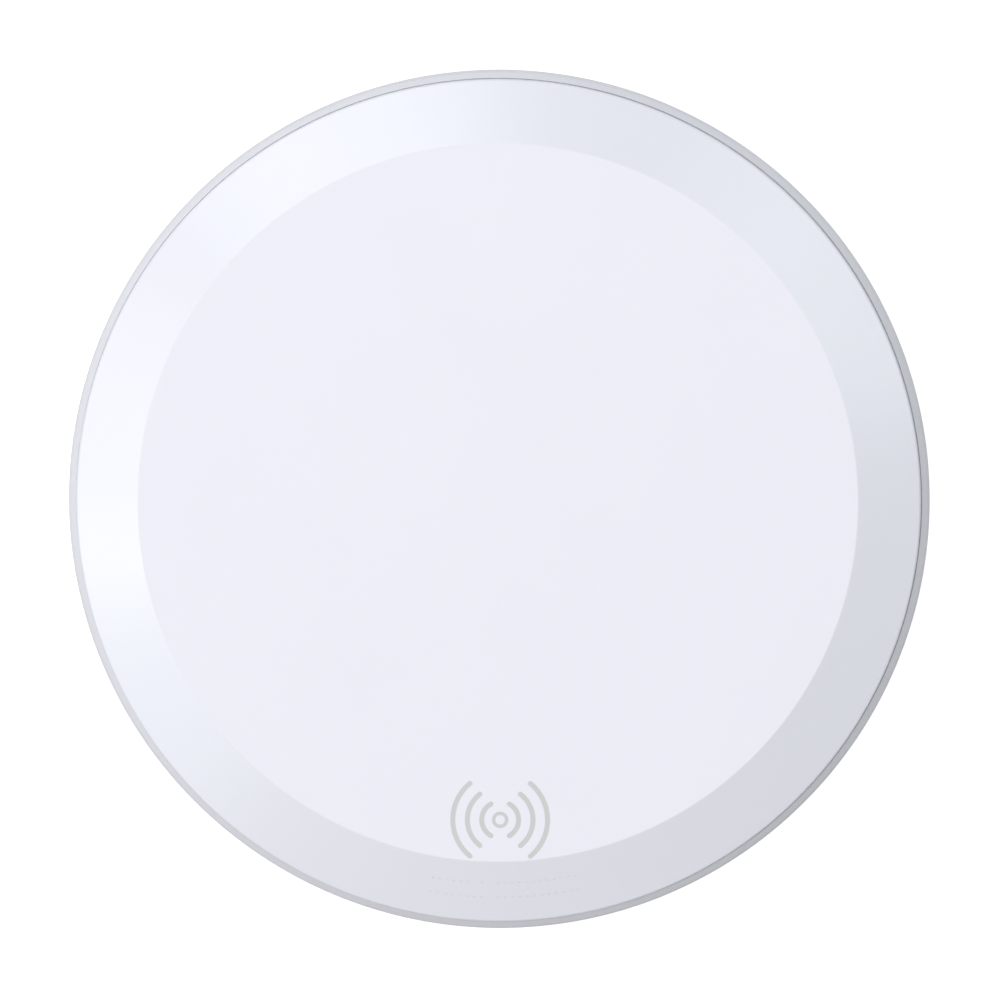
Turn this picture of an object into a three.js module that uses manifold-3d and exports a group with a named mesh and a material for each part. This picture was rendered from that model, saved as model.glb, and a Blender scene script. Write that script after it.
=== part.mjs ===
// Round wireless charging pad, in millimetres.
// +Z is up, the origin is the centre of the plane that the feet stand on, the socket faces +Y and the printed mark -Y.
import * as THREE from "three";
import { mergeVertices } from "three/addons/utils/BufferGeometryUtils.js";
import Module from "manifold-3d";

const wasm = await Module();
wasm.setup();

// ---- Driving dimensions ----
const PAD_RADIUS = 50;
const PAD_HEIGHT = 10;
const FLAT_RADIUS = 41.8; // the level charging surface
const COVER_RADIUS = 49; // outer edge of the cover's sloping border
const BORDER_DROP = 2.4; // how far the border falls from the flat to the edge
const COVER_WALL = 1.5;
const FIT = 0.05; // air between two parts that touch

const COVER_EDGE_Z = 7.1; // underside of the cover's edge
const RING_TOP_Z = COVER_EDGE_Z - FIT;
const RING_BOTTOM_Z = 5.6;
const BASE_TOP_Z = RING_BOTTOM_Z - FIT;
const BASE_BOTTOM_Z = 0.6; // the feet stand proud by this much
const FLOOR_Z = 2; // inner face of the base's floor
const BOARD_BOTTOM_Z = 2.6;
const BOARD_TOP_Z = 3.6;
const COVER_CEILING_Z = PAD_HEIGHT - COVER_WALL;

const ROUND = 64; // facets round the casing
const SMALL_ROUND = 16; // facets round feet and posts
const TINY_ROUND = 10; // facets round screws and their holes

const SCREW_CIRCLE = 38.5; // radius that the four casing screws and the feet sit on
const SCREW_ANGLES = [45, 135, 225, 315];
const POST_RADIUS = 3.2;
const FOOT_RADIUS = 4;
const FOOT_TOP_Z = 1.15;
const FOOT_SEAT_Z = 1.2; // depth of the feet's recesses
const HEAD_SEAT_Z = 2.6; // where a casing screw's head bears
const POST_TOP_Z = 4.6;

const BOARD_INNER = 28;
const BOARD_OUTER = 46.8;
const BOARD_GAP = 12; // half the angle of the board's open side, at the front
const BOARD_SCREW_CIRCLE = 36;
const BOARD_SCREW_ANGLES = [0, 180, 252, 288];

const SOCKET_Z = 3.2; // centre of the socket
const SOCKET_WIDTH = 8.94;
const SOCKET_HEIGHT = 3.26;
const SOCKET_WALL = 0.3;
const SOCKET_MOUTH_Y = 48.3;
const SOCKET_BACK_Y = 41;

const LAMP_ANGLES = [30, 150, 210, 330];
const LAMP_CIRCLE = 45.6;
const LAMP_HEIGHT = 0.8;

const WIRE_RADIUS = 0.55;
const COIL_INNER = 10.9; // to the middle of the innermost turn
const COIL_PITCH = 1.2;
const COIL_TURNS = 9.6;
const COIL_Z = 7.575;
const STEPS_PER_TURN = 20;
const INNER_LEAD_ANGLE = 70;
const FERRITE_RADIUS = 25;
const FERRITE_BOTTOM_Z = 4.8;
const FERRITE_TOP_Z = 6.75;
const WELL_INNER = 26; // round wall on the floor that the coil stack drops into
const WELL_OUTER = 27.2;
const WELL_TOP_Z = 5;

// ---- Materials ----
const finish = (color, roughness, metalness = 0) =>
  new THREE.MeshStandardMaterial({ color, roughness, metalness });
const whitePlastic = finish(0xeeeef4, 0.28);
const frostedPlastic = finish(0xd9dce4, 0.35);
const silicone = finish(0xdcdde2, 0.8);
const boardLaminate = finish(0x1d5a38, 0.5);
const copperWire = finish(0xb56b3a, 0.35, 0.9);
const ferriteCeramic = finish(0x2d2d30, 0.6);
const steel = finish(0xb9bcc2, 0.3, 1);
const blackResin = finish(0x191a1c, 0.45);
const tanCeramic = finish(0xa98b63, 0.5);
const lampPlastic = finish(0xf3f0dc, 0.3);
const paleTape = finish(0xe8e2d0, 0.7);
const greyFoam = finish(0x55575c, 0.95);

// ---- Helpers ----
const radians = THREE.MathUtils.degToRad;
const onCircle = (radius, degrees) => [
  radius * Math.cos(radians(degrees)),
  radius * Math.sin(radians(degrees)),
];

// A body turned about Z from a profile of [radius, z] points, listed clockwise from the axis or round a closed section.
function turned(profile, facets) {
  const points = profile.map(([r, z]) => new THREE.Vector2(r, z)).reverse();
  return new THREE.LatheGeometry(points, facets).rotateX(Math.PI / 2);
}

// The same for a ring, whose section closes on itself.
const turnedRing = (section, facets) => turned([...section, section[0]], facets);

function cylinder(radius, bottom, top, facets) {
  return turned([[0, top], [radius, top], [radius, bottom], [0, bottom]], facets);
}

function block(width, depth, bottom, top) {
  return new THREE.BoxGeometry(width, depth, top - bottom).translate(0, 0, (top + bottom) / 2);
}

// An outline in X and Y, raised from bottom to top.
function raised(shape, bottom, top, curveSegments = 8) {
  return new THREE.ExtrudeGeometry(shape, { depth: top - bottom, bevelEnabled: false, curveSegments })
    .translate(0, 0, bottom);
}

function circlePath(x, y, radius, facets) {
  const points = [];
  for (let i = 0; i < facets; i++) {
    const a = (2 * Math.PI * i) / facets;
    points.push(new THREE.Vector2(x + radius * Math.cos(a), y + radius * Math.sin(a)));
  }
  return new THREE.Path(points);
}

// A slot outline with round ends, in its own plane.
function stadium(width, height) {
  const r = height / 2;
  const shape = new THREE.Shape();
  shape.absarc(width / 2 - r, 0, r, -Math.PI / 2, Math.PI / 2);
  shape.absarc(-width / 2 + r, 0, r, Math.PI / 2, (3 * Math.PI) / 2);
  return shape;
}

// A slot outline that faces +Y, run from one Y to another.
function stadiumBar(width, height, fromY, toY, hole = null) {
  const shape = stadium(width, height);
  if (hole) shape.holes.push(new THREE.Path(stadium(...hole).getPoints(6)));
  return raised(shape, 0, toY - fromY, 6)
    .rotateX(-Math.PI / 2)
    .translate(0, fromY, SOCKET_Z);
}

function toSolid(geometry) {
  const bare = geometry.index ? geometry.toNonIndexed() : geometry.clone();
  bare.deleteAttribute("normal");
  bare.deleteAttribute("uv");
  const merged = mergeVertices(bare, 1e-4);
  return new wasm.Manifold(
    new wasm.Mesh({
      numProp: 3,
      vertProperties: merged.attributes.position.array,
      triVerts: new Uint32Array(merged.index.array),
    }),
  );
}

function toGeometry(solid) {
  const mesh = solid.getMesh();
  const geometry = new THREE.BufferGeometry();
  geometry.setAttribute("position", new THREE.BufferAttribute(mesh.vertProperties, 3));
  geometry.setIndex(new THREE.BufferAttribute(mesh.triVerts, 1));
  geometry.computeVertexNormals();
  return geometry;
}

// A body with other bodies joined on and cut out.
function carved(body, joins, cuts) {
  let solid = toSolid(body);
  for (const part of joins) solid = solid.add(toSolid(part));
  for (const part of cuts) solid = solid.subtract(toSolid(part));
  return toGeometry(solid);
}

const pad = new THREE.Group();

function add(name, geometry, material) {
  const mesh = new THREE.Mesh(geometry, material);
  mesh.name = name;
  pad.add(mesh);
  return mesh;
}

// ---- Top cover: flat charging surface, sloping border, locating lip and four screw bosses ----
const borderFall = BORDER_DROP / (COVER_RADIUS - 0.25 - FLAT_RADIUS);
const coverUnderside = (r) => PAD_HEIGHT - COVER_WALL * Math.hypot(1, borderFall) - borderFall * (r - FLAT_RADIUS);
const LIP_OUTER = 47.35;
const LIP_INNER = 46.65;
const LIP_BOTTOM_Z = 6.5;

function topCover() {
  const shell = turned(
    [
      [0, PAD_HEIGHT],
      [FLAT_RADIUS, PAD_HEIGHT],
      [COVER_RADIUS - 0.25, PAD_HEIGHT - BORDER_DROP],
      [COVER_RADIUS - 0.06, PAD_HEIGHT - BORDER_DROP - 0.14],
      [COVER_RADIUS, PAD_HEIGHT - BORDER_DROP - 0.32],
      [COVER_RADIUS, COVER_EDGE_Z],
      [LIP_OUTER, COVER_EDGE_Z],
      [LIP_OUTER, LIP_BOTTOM_Z],
      [LIP_INNER, LIP_BOTTOM_Z],
      [LIP_INNER, coverUnderside(LIP_INNER)],
      [FLAT_RADIUS - 0.26, COVER_CEILING_Z],
      [0, COVER_CEILING_Z],
    ],
    ROUND,
  );
  const bosses = [];
  const pilotHoles = [];
  for (const angle of SCREW_ANGLES) {
    const [x, y] = onCircle(SCREW_CIRCLE, angle);
    bosses.push(cylinder(2.4, POST_TOP_Z + FIT, COVER_CEILING_Z + 0.3, SMALL_ROUND).translate(x, y, 0));
    pilotHoles.push(cylinder(1.1, POST_TOP_Z - 1, COVER_CEILING_Z - 0.6, TINY_ROUND).translate(x, y, 0));
  }
  return carved(shell, bosses, pilotHoles);
}

// ---- Light ring: frosted band between cover and base, with a light guide over each lamp ----
function lightRing() {
  const band = turnedRing(
    [
      [47.45, RING_TOP_Z],
      [49.35, RING_TOP_Z],
      [PAD_RADIUS, RING_TOP_Z - 1.2],
      [PAD_RADIUS, RING_BOTTOM_Z],
      [49, RING_BOTTOM_Z],
      [49, RING_BOTTOM_Z + 0.55],
      [48.2, RING_BOTTOM_Z + 0.55],
      [48.2, RING_BOTTOM_Z],
      [47.45, RING_BOTTOM_Z],
    ],
    ROUND,
  );
  const guides = [];
  for (const angle of LAMP_ANGLES) {
    const bridge = block(3.2, 3, 5.9, 6.4).translate(46.1, 0, 0);
    const leg = block(2, 3, BOARD_TOP_Z + LAMP_HEIGHT + 0.35, 6.1).translate(45.6, 0, 0);
    guides.push(bridge.rotateZ(radians(angle)), leg.rotateZ(radians(angle)));
  }
  return carved(band, guides, []);
}

// ---- Base shell: floor, curved wall, coil well, posts and the socket's opening ----
function baseShell() {
  const shell = turned(
    [
      [0, FLOOR_Z],
      [WELL_INNER, FLOOR_Z],
      [WELL_INNER, WELL_TOP_Z],
      [WELL_OUTER, WELL_TOP_Z],
      [WELL_OUTER, FLOOR_Z],
      [46.2, FLOOR_Z],
      [47, BOARD_BOTTOM_Z],
      [47.3, BASE_TOP_Z],
      [48.3, BASE_TOP_Z],
      [48.3, BASE_TOP_Z + 0.5],
      [48.9, BASE_TOP_Z + 0.5],
      [48.9, BASE_TOP_Z],
      [PAD_RADIUS - 0.1, BASE_TOP_Z],
      [48.9, 2.2],
      [48.3, 1.35],
      [47.2, 0.8],
      [45.6, BASE_BOTTOM_Z],
      [0, BASE_BOTTOM_Z],
    ],
    ROUND,
  );
  const posts = [];
  const holes = [];
  for (const angle of SCREW_ANGLES) {
    const [x, y] = onCircle(SCREW_CIRCLE, angle);
    posts.push(cylinder(POST_RADIUS, FLOOR_Z - 0.4, POST_TOP_Z, SMALL_ROUND).translate(x, y, 0));
    holes.push(cylinder(FOOT_RADIUS + 0.2, 0, FOOT_SEAT_Z, SMALL_ROUND).translate(x, y, 0));
    holes.push(cylinder(2.2, 1, HEAD_SEAT_Z, SMALL_ROUND).translate(x, y, 0));
    holes.push(cylinder(1.15, 2, POST_TOP_Z + 1, TINY_ROUND).translate(x, y, 0));
  }
  for (const angle of BOARD_SCREW_ANGLES) {
    const [x, y] = onCircle(BOARD_SCREW_CIRCLE, angle);
    posts.push(cylinder(2.5, FLOOR_Z - 0.4, BOARD_BOTTOM_Z - FIT, SMALL_ROUND).translate(x, y, 0));
    holes.push(cylinder(0.85, 1.2, BOARD_BOTTOM_Z + 1, TINY_ROUND).translate(x, y, 0));
  }
  const socketPocket = block(10.4, 6.4, 1.4, FLOOR_Z + 1).translate(0, 44, 0);
  const socketOpening = stadiumBar(SOCKET_WIDTH + 0.5, SOCKET_HEIGHT + 0.44, 46, 52);
  return carved(shell, posts, [...holes, socketPocket, socketOpening]);
}

// ---- Silicone feet, each over the head of a casing screw ----
function foot() {
  return turned(
    [
      [0, FOOT_TOP_Z],
      [FOOT_RADIUS, FOOT_TOP_Z],
      [FOOT_RADIUS, 0.3],
      [FOOT_RADIUS - 0.3, 0],
      [0, 0],
    ],
    SMALL_ROUND,
  );
}

// ---- Pan-head screw standing on its tip: the head's seat is at seatZ ----
function screw(shankRadius, headRadius, headHeight, tipZ, seatZ, headUp) {
  const sign = headUp ? 1 : -1;
  const profile = [
    [0, seatZ + sign * headHeight],
    [headRadius * 0.7, seatZ + sign * headHeight],
    [headRadius, seatZ + sign * headHeight * 0.45],
    [headRadius, seatZ],
    [shankRadius, seatZ],
    [shankRadius, tipZ + sign * shankRadius * 0.8],
    [shankRadius * 0.45, tipZ],
    [0, tipZ],
  ];
  return turned(headUp ? profile : profile.reverse(), TINY_ROUND);
}

// ---- Main board: a ring left open at the front, so that no copper loop closes round the coil ----
const BOARD_NOTCH_HALF = SOCKET_WIDTH / 2 + 0.25;
const BOARD_NOTCH_Y = SOCKET_BACK_Y - 0.4;

function mainBoard() {
  const gap = radians(BOARD_GAP);
  const front = -Math.PI / 2;
  const back = Math.PI / 2;
  const notch = Math.asin(BOARD_NOTCH_HALF / BOARD_OUTER);
  const outline = new THREE.Shape();
  outline.absarc(0, 0, BOARD_OUTER, front + gap, back - notch, false);
  outline.lineTo(BOARD_NOTCH_HALF, BOARD_NOTCH_Y);
  outline.lineTo(-BOARD_NOTCH_HALF, BOARD_NOTCH_Y);
  outline.absarc(0, 0, BOARD_OUTER, back + notch, front + 2 * Math.PI - gap, false);
  outline.absarc(0, 0, BOARD_INNER, front + 2 * Math.PI - gap, front + gap, true);
  for (const angle of SCREW_ANGLES) {
    outline.holes.push(circlePath(...onCircle(SCREW_CIRCLE, angle), POST_RADIUS + 0.4, SMALL_ROUND));
  }
  for (const angle of BOARD_SCREW_ANGLES) {
    outline.holes.push(circlePath(...onCircle(BOARD_SCREW_CIRCLE, angle), 0.95, TINY_ROUND));
  }
  return raised(outline, BOARD_BOTTOM_Z, BOARD_TOP_Z, 26);
}

// ---- Socket: a drawn steel shell sunk into the board's notch, with four tabs soldered on top of the board ----
function socketShell() {
  const inner = [SOCKET_WIDTH - 2 * SOCKET_WALL, SOCKET_HEIGHT - 2 * SOCKET_WALL];
  const shell = stadiumBar(SOCKET_WIDTH, SOCKET_HEIGHT, SOCKET_BACK_Y, SOCKET_MOUTH_Y, inner);
  const tabs = [];
  for (const side of [-1, 1]) {
    for (const y of [42.2, 45.2]) {
      const tab = block(1.5, 1.1, BOARD_TOP_Z + FIT, BOARD_TOP_Z + FIT + 0.3);
      tabs.push(tab.translate(side * (SOCKET_WIDTH / 2 + 0.6), y, 0));
    }
  }
  return carved(shell, tabs, []);
}

function socketTongue() {
  const gap = 0.08;
  const width = SOCKET_WIDTH - 2 * SOCKET_WALL - 2 * gap;
  const height = SOCKET_HEIGHT - 2 * SOCKET_WALL - 2 * gap;
  const back = stadiumBar(width, height, SOCKET_BACK_Y, SOCKET_BACK_Y + 1.9);
  const blade = new THREE.BoxGeometry(6.65, 4.9, 0.7).translate(0, SOCKET_BACK_Y + 1.7 + 2.45, SOCKET_Z);
  return carved(back, [blade], []);
}

// ---- Coil: one litz wire, from its inner lead under the winding, round the turns, to its outer lead ----
// The route takes equal steps of its own points, so the facets of neighbouring turns lie side by side.
class WireRoute extends THREE.CatmullRomCurve3 {
  getUtoTmapping(u) {
    return u;
  }
}

const WIRE_ON_BOARD_Z = BOARD_TOP_Z + FIT + WIRE_RADIUS;

function coilRoute() {
  const at = (radius, degrees, z) => new THREE.Vector3(...onCircle(radius, degrees), z);
  const a = INNER_LEAD_ANGLE;
  const route = [
    at(33, a, WIRE_ON_BOARD_Z),
    at(31, a, WIRE_ON_BOARD_Z + 0.1),
    at(29.3, a, 4.95),
    at(27.4, a, 5.7),
    at(24, a, 5.78),
    at(16, a, 5.78),
    at(11.8, a, 5.8),
    at(9.4, a, 6.2),
    at(8.2, a + 3, 6.95),
    at(7.9, a + 13, 7.5),
    at(8.7, a + 34, COIL_Z),
    at(9.7, a + 54, COIL_Z),
    at(10.5, a + 72, COIL_Z),
  ];
  const firstAngle = a + 90;
  const steps = Math.round(COIL_TURNS * STEPS_PER_TURN);
  for (let i = 0; i <= steps; i++) {
    const turn = i / STEPS_PER_TURN;
    route.push(at(COIL_INNER + COIL_PITCH * turn, firstAngle + 360 * turn, COIL_Z));
  }
  const lastRadius = COIL_INNER + (COIL_PITCH * steps) / STEPS_PER_TURN;
  const lastAngle = firstAngle + (360 * steps) / STEPS_PER_TURN;
  route.push(
    at(lastRadius + 1.1, lastAngle + 12, COIL_Z),
    at(lastRadius + 2.6, lastAngle + 20, COIL_Z - 0.02),
    at(lastRadius + 4.1, lastAngle + 26, COIL_Z - 0.75),
    at(lastRadius + 5.6, lastAngle + 30, 5.6),
    at(lastRadius + 7.1, lastAngle + 33, 4.4),
    at(lastRadius + 9.6, lastAngle + 36, WIRE_ON_BOARD_Z),
  );
  return route;
}

function coilWinding() {
  const route = coilRoute();
  const section = new THREE.Shape(circlePath(0, 0, WIRE_RADIUS, 6).getPoints());
  return new THREE.ExtrudeGeometry(section, {
    steps: route.length - 1,
    extrudePath: new WireRoute(route, false, "centripetal"),
  });
}

// ---- Ferrite disc under the coil, slotted for the inner lead ----
const SLOT_HALF = 1.5;

function ferriteShield() {
  const outline = new THREE.Shape();
  const open = Math.asin(SLOT_HALF / FERRITE_RADIUS);
  outline.absarc(0, 0, FERRITE_RADIUS, open, 2 * Math.PI - open, false);
  outline.lineTo(6, -SLOT_HALF);
  outline.lineTo(6, SLOT_HALF);
  return raised(outline, FERRITE_BOTTOM_Z, FERRITE_TOP_Z, 40).rotateZ(radians(INNER_LEAD_ANGLE));
}

function sheetRing(innerRadius, outerRadius, bottom, top) {
  const section = [[innerRadius, top], [outerRadius, top], [outerRadius, bottom], [innerRadius, bottom]];
  return turnedRing(section, 36);
}

// ---- Board parts: each stands on the board at an angle and radius, turned to face the rim ----
function placed(geometry, angle, radius, turn = 0) {
  return geometry
    .rotateZ(radians(turn))
    .translate(radius, 0, BOARD_TOP_Z + FIT)
    .rotateZ(radians(angle));
}

// A ceramic block between two slightly larger end caps.
function cappedBlock(length, width, height, cap) {
  const inset = 0.06;
  const body = block(length - cap, width - 2 * inset, inset, height - inset);
  const caps = [-1, 1].map((side) => block(cap, width, 0, height).translate((side * (length - cap)) / 2, 0, 0));
  return carved(body, caps, []);
}

// A moulded chip with chamfered edges.
function chip(length, width, height) {
  const lean = 0.1;
  const outline = new THREE.Shape([
    new THREE.Vector2(-length / 2, -width / 2),
    new THREE.Vector2(length / 2, -width / 2),
    new THREE.Vector2(length / 2, width / 2),
    new THREE.Vector2(-length / 2, width / 2),
  ]);
  return new THREE.ExtrudeGeometry(outline, {
    depth: height - 2 * lean,
    bevelThickness: lean,
    bevelSize: lean,
    bevelOffset: -lean,
    bevelSegments: 1,
  }).translate(0, 0, lean);
}

// A small lamp: square body with a low round lens.
function lamp() {
  const lens = turned([[0, LAMP_HEIGHT], [0.45, LAMP_HEIGHT - 0.1], [0.6, 0.3], [0, 0.3]], TINY_ROUND);
  return carved(block(2, 1.25, 0, 0.55), [lens], []);
}

// An inductor: a square foot under a round-cornered core.
function inductorCore() {
  const core = raised(stadium(6, 5.6), 0.5, 3, 6);
  return carved(block(6, 6, 0, 0.6), [core], []);
}

// ---- Assembly ----
add("top_cover", topCover(), whitePlastic);
add("light_ring", lightRing(), frostedPlastic);
add("base_shell", baseShell(), whitePlastic);

SCREW_ANGLES.forEach((angle, i) => {
  const [x, y] = onCircle(SCREW_CIRCLE, angle);
  add(`foot_${i + 1}`, foot().translate(x, y, 0), silicone);
  const casingScrew = screw(0.95, 1.9, 1.1, 7.4, HEAD_SEAT_Z - FIT, false);
  add(`casing_screw_${i + 1}`, casingScrew.translate(x, y, 0), steel);
});

add("main_board", mainBoard(), boardLaminate);
BOARD_SCREW_ANGLES.forEach((angle, i) => {
  const [x, y] = onCircle(BOARD_SCREW_CIRCLE, angle);
  const boardScrew = screw(0.75, 1.7, 1, 1.35, BOARD_TOP_Z + FIT, true);
  add(`board_screw_${i + 1}`, boardScrew.translate(x, y, 0), steel);
});

add("socket_shell", socketShell(), steel);
add("socket_tongue", socketTongue(), blackResin);

add("coil_cushion", sheetRing(3, WELL_INNER - 0.6, FLOOR_Z + FIT, FERRITE_BOTTOM_Z - FIT), greyFoam);
add("ferrite_shield", ferriteShield(), ferriteCeramic);
add("coil_adhesive", sheetRing(11.2, 23.6, FERRITE_TOP_Z + FIT, 6.95), paleTape);
add("coil_winding", coilWinding(), copperWire);
add("cover_adhesive", sheetRing(10, 23, 8.2, COVER_CEILING_Z - FIT), paleTape);

const boardParts = [
  // name, shape, angle, radius, turn, material
  ["surge_diode", chip(4.3, 2.6, 2.1), 100, 37.6, 0, blackResin],
  ["input_fuse", cappedBlock(3.2, 1.6, 0.6, 0.5), 81, 38.2, 0, tanCeramic],
  ["input_capacitor_1", cappedBlock(7.3, 4.3, 1.9, 0.8), 111, 35.4, 0, tanCeramic],
  ["input_capacitor_2", cappedBlock(7.3, 4.3, 1.9, 0.8), 120, 35.4, 0, tanCeramic],
  ["handshake_chip", chip(2.9, 1.6, 1.1), 88, 33.2, 90, blackResin],
  ["regulator_chip", chip(4.9, 3.9, 1.5), 166, 36.4, 0, blackResin],
  ["power_inductor", inductorCore(), 153, 36.6, 0, blackResin],
  ["controller_chip", chip(5, 5, 0.85), 16, 36.4, 0, blackResin],
  ["clock_crystal", chip(3.2, 2.5, 0.75), 9, 42.6, 90, steel],
  ["bridge_driver_1", chip(6, 5, 1), 30, 37.4, 0, blackResin],
  ["bridge_driver_2", chip(6, 5, 1), 62, 43.2, 90, blackResin],
  ["sense_resistor", cappedBlock(6.3, 3.2, 0.6, 0.8), 341, 36.4, 0, blackResin],
  ["thermistor_chip", cappedBlock(2, 1.25, 0.8, 0.4), 195, 30, 90, tanCeramic],
];
for (const [name, shape, angle, radius, turn, material] of boardParts) {
  add(name, placed(shape, angle, radius, turn), material);
}
const TUNING_CIRCLE = 37.6;
const TUNING_ANGLES = [56.5, 62.3, 68.1, 73.9];
TUNING_ANGLES.forEach((angle, i) => {
  add(`tuning_capacitor_${i + 1}`, placed(cappedBlock(4.5, 3.2, 2, 0.7), angle, TUNING_CIRCLE), tanCeramic);
});
LAMP_ANGLES.forEach((angle, i) => {
  add(`status_lamp_${i + 1}`, placed(lamp(), angle, LAMP_CIRCLE, 90), lampPlastic);
});

export default pad;
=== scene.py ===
import math

import bmesh
import bpy
from mathutils import Matrix, Vector


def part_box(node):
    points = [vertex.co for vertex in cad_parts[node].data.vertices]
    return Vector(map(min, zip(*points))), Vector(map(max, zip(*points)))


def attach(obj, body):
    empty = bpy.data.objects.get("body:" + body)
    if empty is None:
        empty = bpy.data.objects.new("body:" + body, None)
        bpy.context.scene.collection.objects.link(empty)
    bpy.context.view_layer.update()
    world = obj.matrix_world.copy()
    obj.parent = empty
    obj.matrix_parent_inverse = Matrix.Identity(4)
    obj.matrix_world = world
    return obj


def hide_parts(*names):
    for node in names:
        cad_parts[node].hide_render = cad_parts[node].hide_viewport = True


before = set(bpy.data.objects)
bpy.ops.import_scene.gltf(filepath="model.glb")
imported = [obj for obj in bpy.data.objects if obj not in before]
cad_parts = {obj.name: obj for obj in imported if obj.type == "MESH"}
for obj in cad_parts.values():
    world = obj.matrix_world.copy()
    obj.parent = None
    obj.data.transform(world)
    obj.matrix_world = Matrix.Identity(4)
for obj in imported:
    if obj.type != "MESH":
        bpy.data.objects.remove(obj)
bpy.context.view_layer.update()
MM = 0.001


# ---- Base casing ----
# The lower half of the casing: an injection moulded white shell with a level floor and a curved wall, its
# outside left with the mould's spark texture. Screw posts, board supports, the coil's well, the socket's
# opening and a tongue that keys into the light ring are moulded in one with it.
def add_node(tree, kind, inputs=None, **settings):
    """Adds a node. An input is a value, a node's output, or a list of outputs where many may go in."""
    made = tree.nodes.new(kind)
    for name, value in settings.items():
        setattr(made, name, value)
    for key, value in (inputs or {}).items():
        for source in value if isinstance(value, list) else [value]:
            if isinstance(source, bpy.types.NodeSocket):
                tree.links.new(source, made.inputs[key])
            else:
                made.inputs[key].default_value = source
    return made


def reckon(tree, operation, *values):
    """What a Math node makes of other nodes' outputs or of numbers."""
    return add_node(tree, "ShaderNodeMath", dict(enumerate(values)), operation=operation).outputs[0]


def new_group(kind, name, inputs, outputs):
    """A node group with named ways in, each of a kind with a first value, and named ways out."""
    tree = bpy.data.node_groups.new(name, kind)
    for label, (socket_kind, value) in inputs.items():
        socket = tree.interface.new_socket(label, in_out="INPUT", socket_type="NodeSocket" + socket_kind)
        if value is not None:
            socket.default_value = value
    for label, socket_kind in outputs.items():
        tree.interface.new_socket(label, in_out="OUTPUT", socket_type="NodeSocket" + socket_kind)
    return tree, tree.nodes.new("NodeGroupInput").outputs, tree.nodes.new("NodeGroupOutput").inputs


def shaping_tree(name, sizes):
    """A Geometry Nodes tree that takes a mesh, sizes and a material, and gives a mesh back."""
    inputs = {"Geometry": ("Geometry", None), **sizes, "Material": ("Material", None)}
    return new_group("GeometryNodeTree", name, inputs, {"Geometry": "Geometry"})


def end_tree(tree, given, result, geometry):
    """The end of every shaping tree: real geometry in the piece's material."""
    real = add_node(tree, "GeometryNodeRealizeInstances", {"Geometry": geometry})
    parts = {"Geometry": real.outputs[0], "Material": given["Material"]}
    coloured = add_node(tree, "GeometryNodeSetMaterial", parts)
    tree.links.new(coloured.outputs[0], result["Geometry"])


def place(name, shape):
    """Puts a mesh, curve, lamp or camera into the scene as an object."""
    thing = bpy.data.objects.new(name, shape)
    bpy.context.scene.collection.objects.link(thing)
    return thing


def grow(name, tree, mesh, **sizes):
    """Runs a shaping tree on a mesh and keeps the result as a plain mesh. Sizes go by the inputs' names."""
    piece = place(name, mesh)
    modifier = piece.modifiers.new(tree.name, "NODES")
    modifier.node_group = tree
    given = {label.replace("_", " "): value for label, value in sizes.items()}
    for socket in tree.interface.items_tree:
        if socket.in_out == "INPUT" and socket.name in given:
            modifier[socket.identifier] = given[socket.name]
    evaluated = piece.evaluated_get(bpy.context.evaluated_depsgraph_get())
    piece.data = bpy.data.meshes.new_from_object(evaluated)
    piece.modifiers.remove(modifier)
    piece.data.name = name
    return face_outwards(piece)


def face_outwards(piece):
    """Merges a mesh's doubled points and turns its faces outwards."""
    shape = bmesh.new()
    shape.from_mesh(piece.data)
    bmesh.ops.remove_doubles(shape, verts=shape.verts, dist=1e-7)
    bmesh.ops.recalc_face_normals(shape, faces=shape.faces)
    shape.to_mesh(piece.data)
    shape.free()
    return piece


# The turning tree sweeps a half section round Z. It is drawn in X and Z, and the point attribute "round"
# rounds its corners.
turning, given, result = shaping_tree(
    "turned_section",
    {"Sweep radius": ("Float", 50 * MM), "Facets": ("Int", 192), "Corner steps": ("Int", 5)},
)
section = add_node(turning, "GeometryNodeMeshToCurve", {"Mesh": given["Geometry"]})
rounding = add_node(turning, "GeometryNodeInputNamedAttribute", {"Name": "round"}, data_type="FLOAT")
fillet_sizes = {
    "Curve": section.outputs[0],
    "Count": given["Corner steps"],
    "Radius": rounding.outputs["Attribute"],
    "Limit Radius": True,
}
rounded = add_node(turning, "GeometryNodeFilletCurve", fillet_sizes, mode="POLY")
# On a circular path the sweep lays a section's X outwards and its Y downwards.
drawn_at = add_node(turning, "GeometryNodeInputPosition")
point = add_node(turning, "ShaderNodeSeparateXYZ", {0: drawn_at.outputs[0]})
out = reckon(turning, "SUBTRACT", point.outputs["X"], given["Sweep radius"])
down = reckon(turning, "MULTIPLY", point.outputs["Z"], -1.0)
laid = add_node(turning, "ShaderNodeCombineXYZ", {"X": out, "Y": down})
laid_section = add_node(
    turning, "GeometryNodeSetPosition", {"Geometry": rounded.outputs[0], "Position": laid.outputs[0]}
)
circle_sizes = {"Resolution": given["Facets"], "Radius": given["Sweep radius"]}
circle = add_node(turning, "GeometryNodeCurvePrimitiveCircle", circle_sizes)
sweep_parts = {"Curve": circle.outputs[0], "Profile Curve": laid_section.outputs[0]}
swept = add_node(turning, "GeometryNodeCurveToMesh", sweep_parts)
closed = add_node(turning, "GeometryNodeMergeByDistance", {"Geometry": swept.outputs[0], "Distance": 1e-6})
smooth = add_node(turning, "GeometryNodeSetShadeSmooth", {"Geometry": closed.outputs[0]})
end_tree(turning, given, result, smooth.outputs[0])


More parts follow.
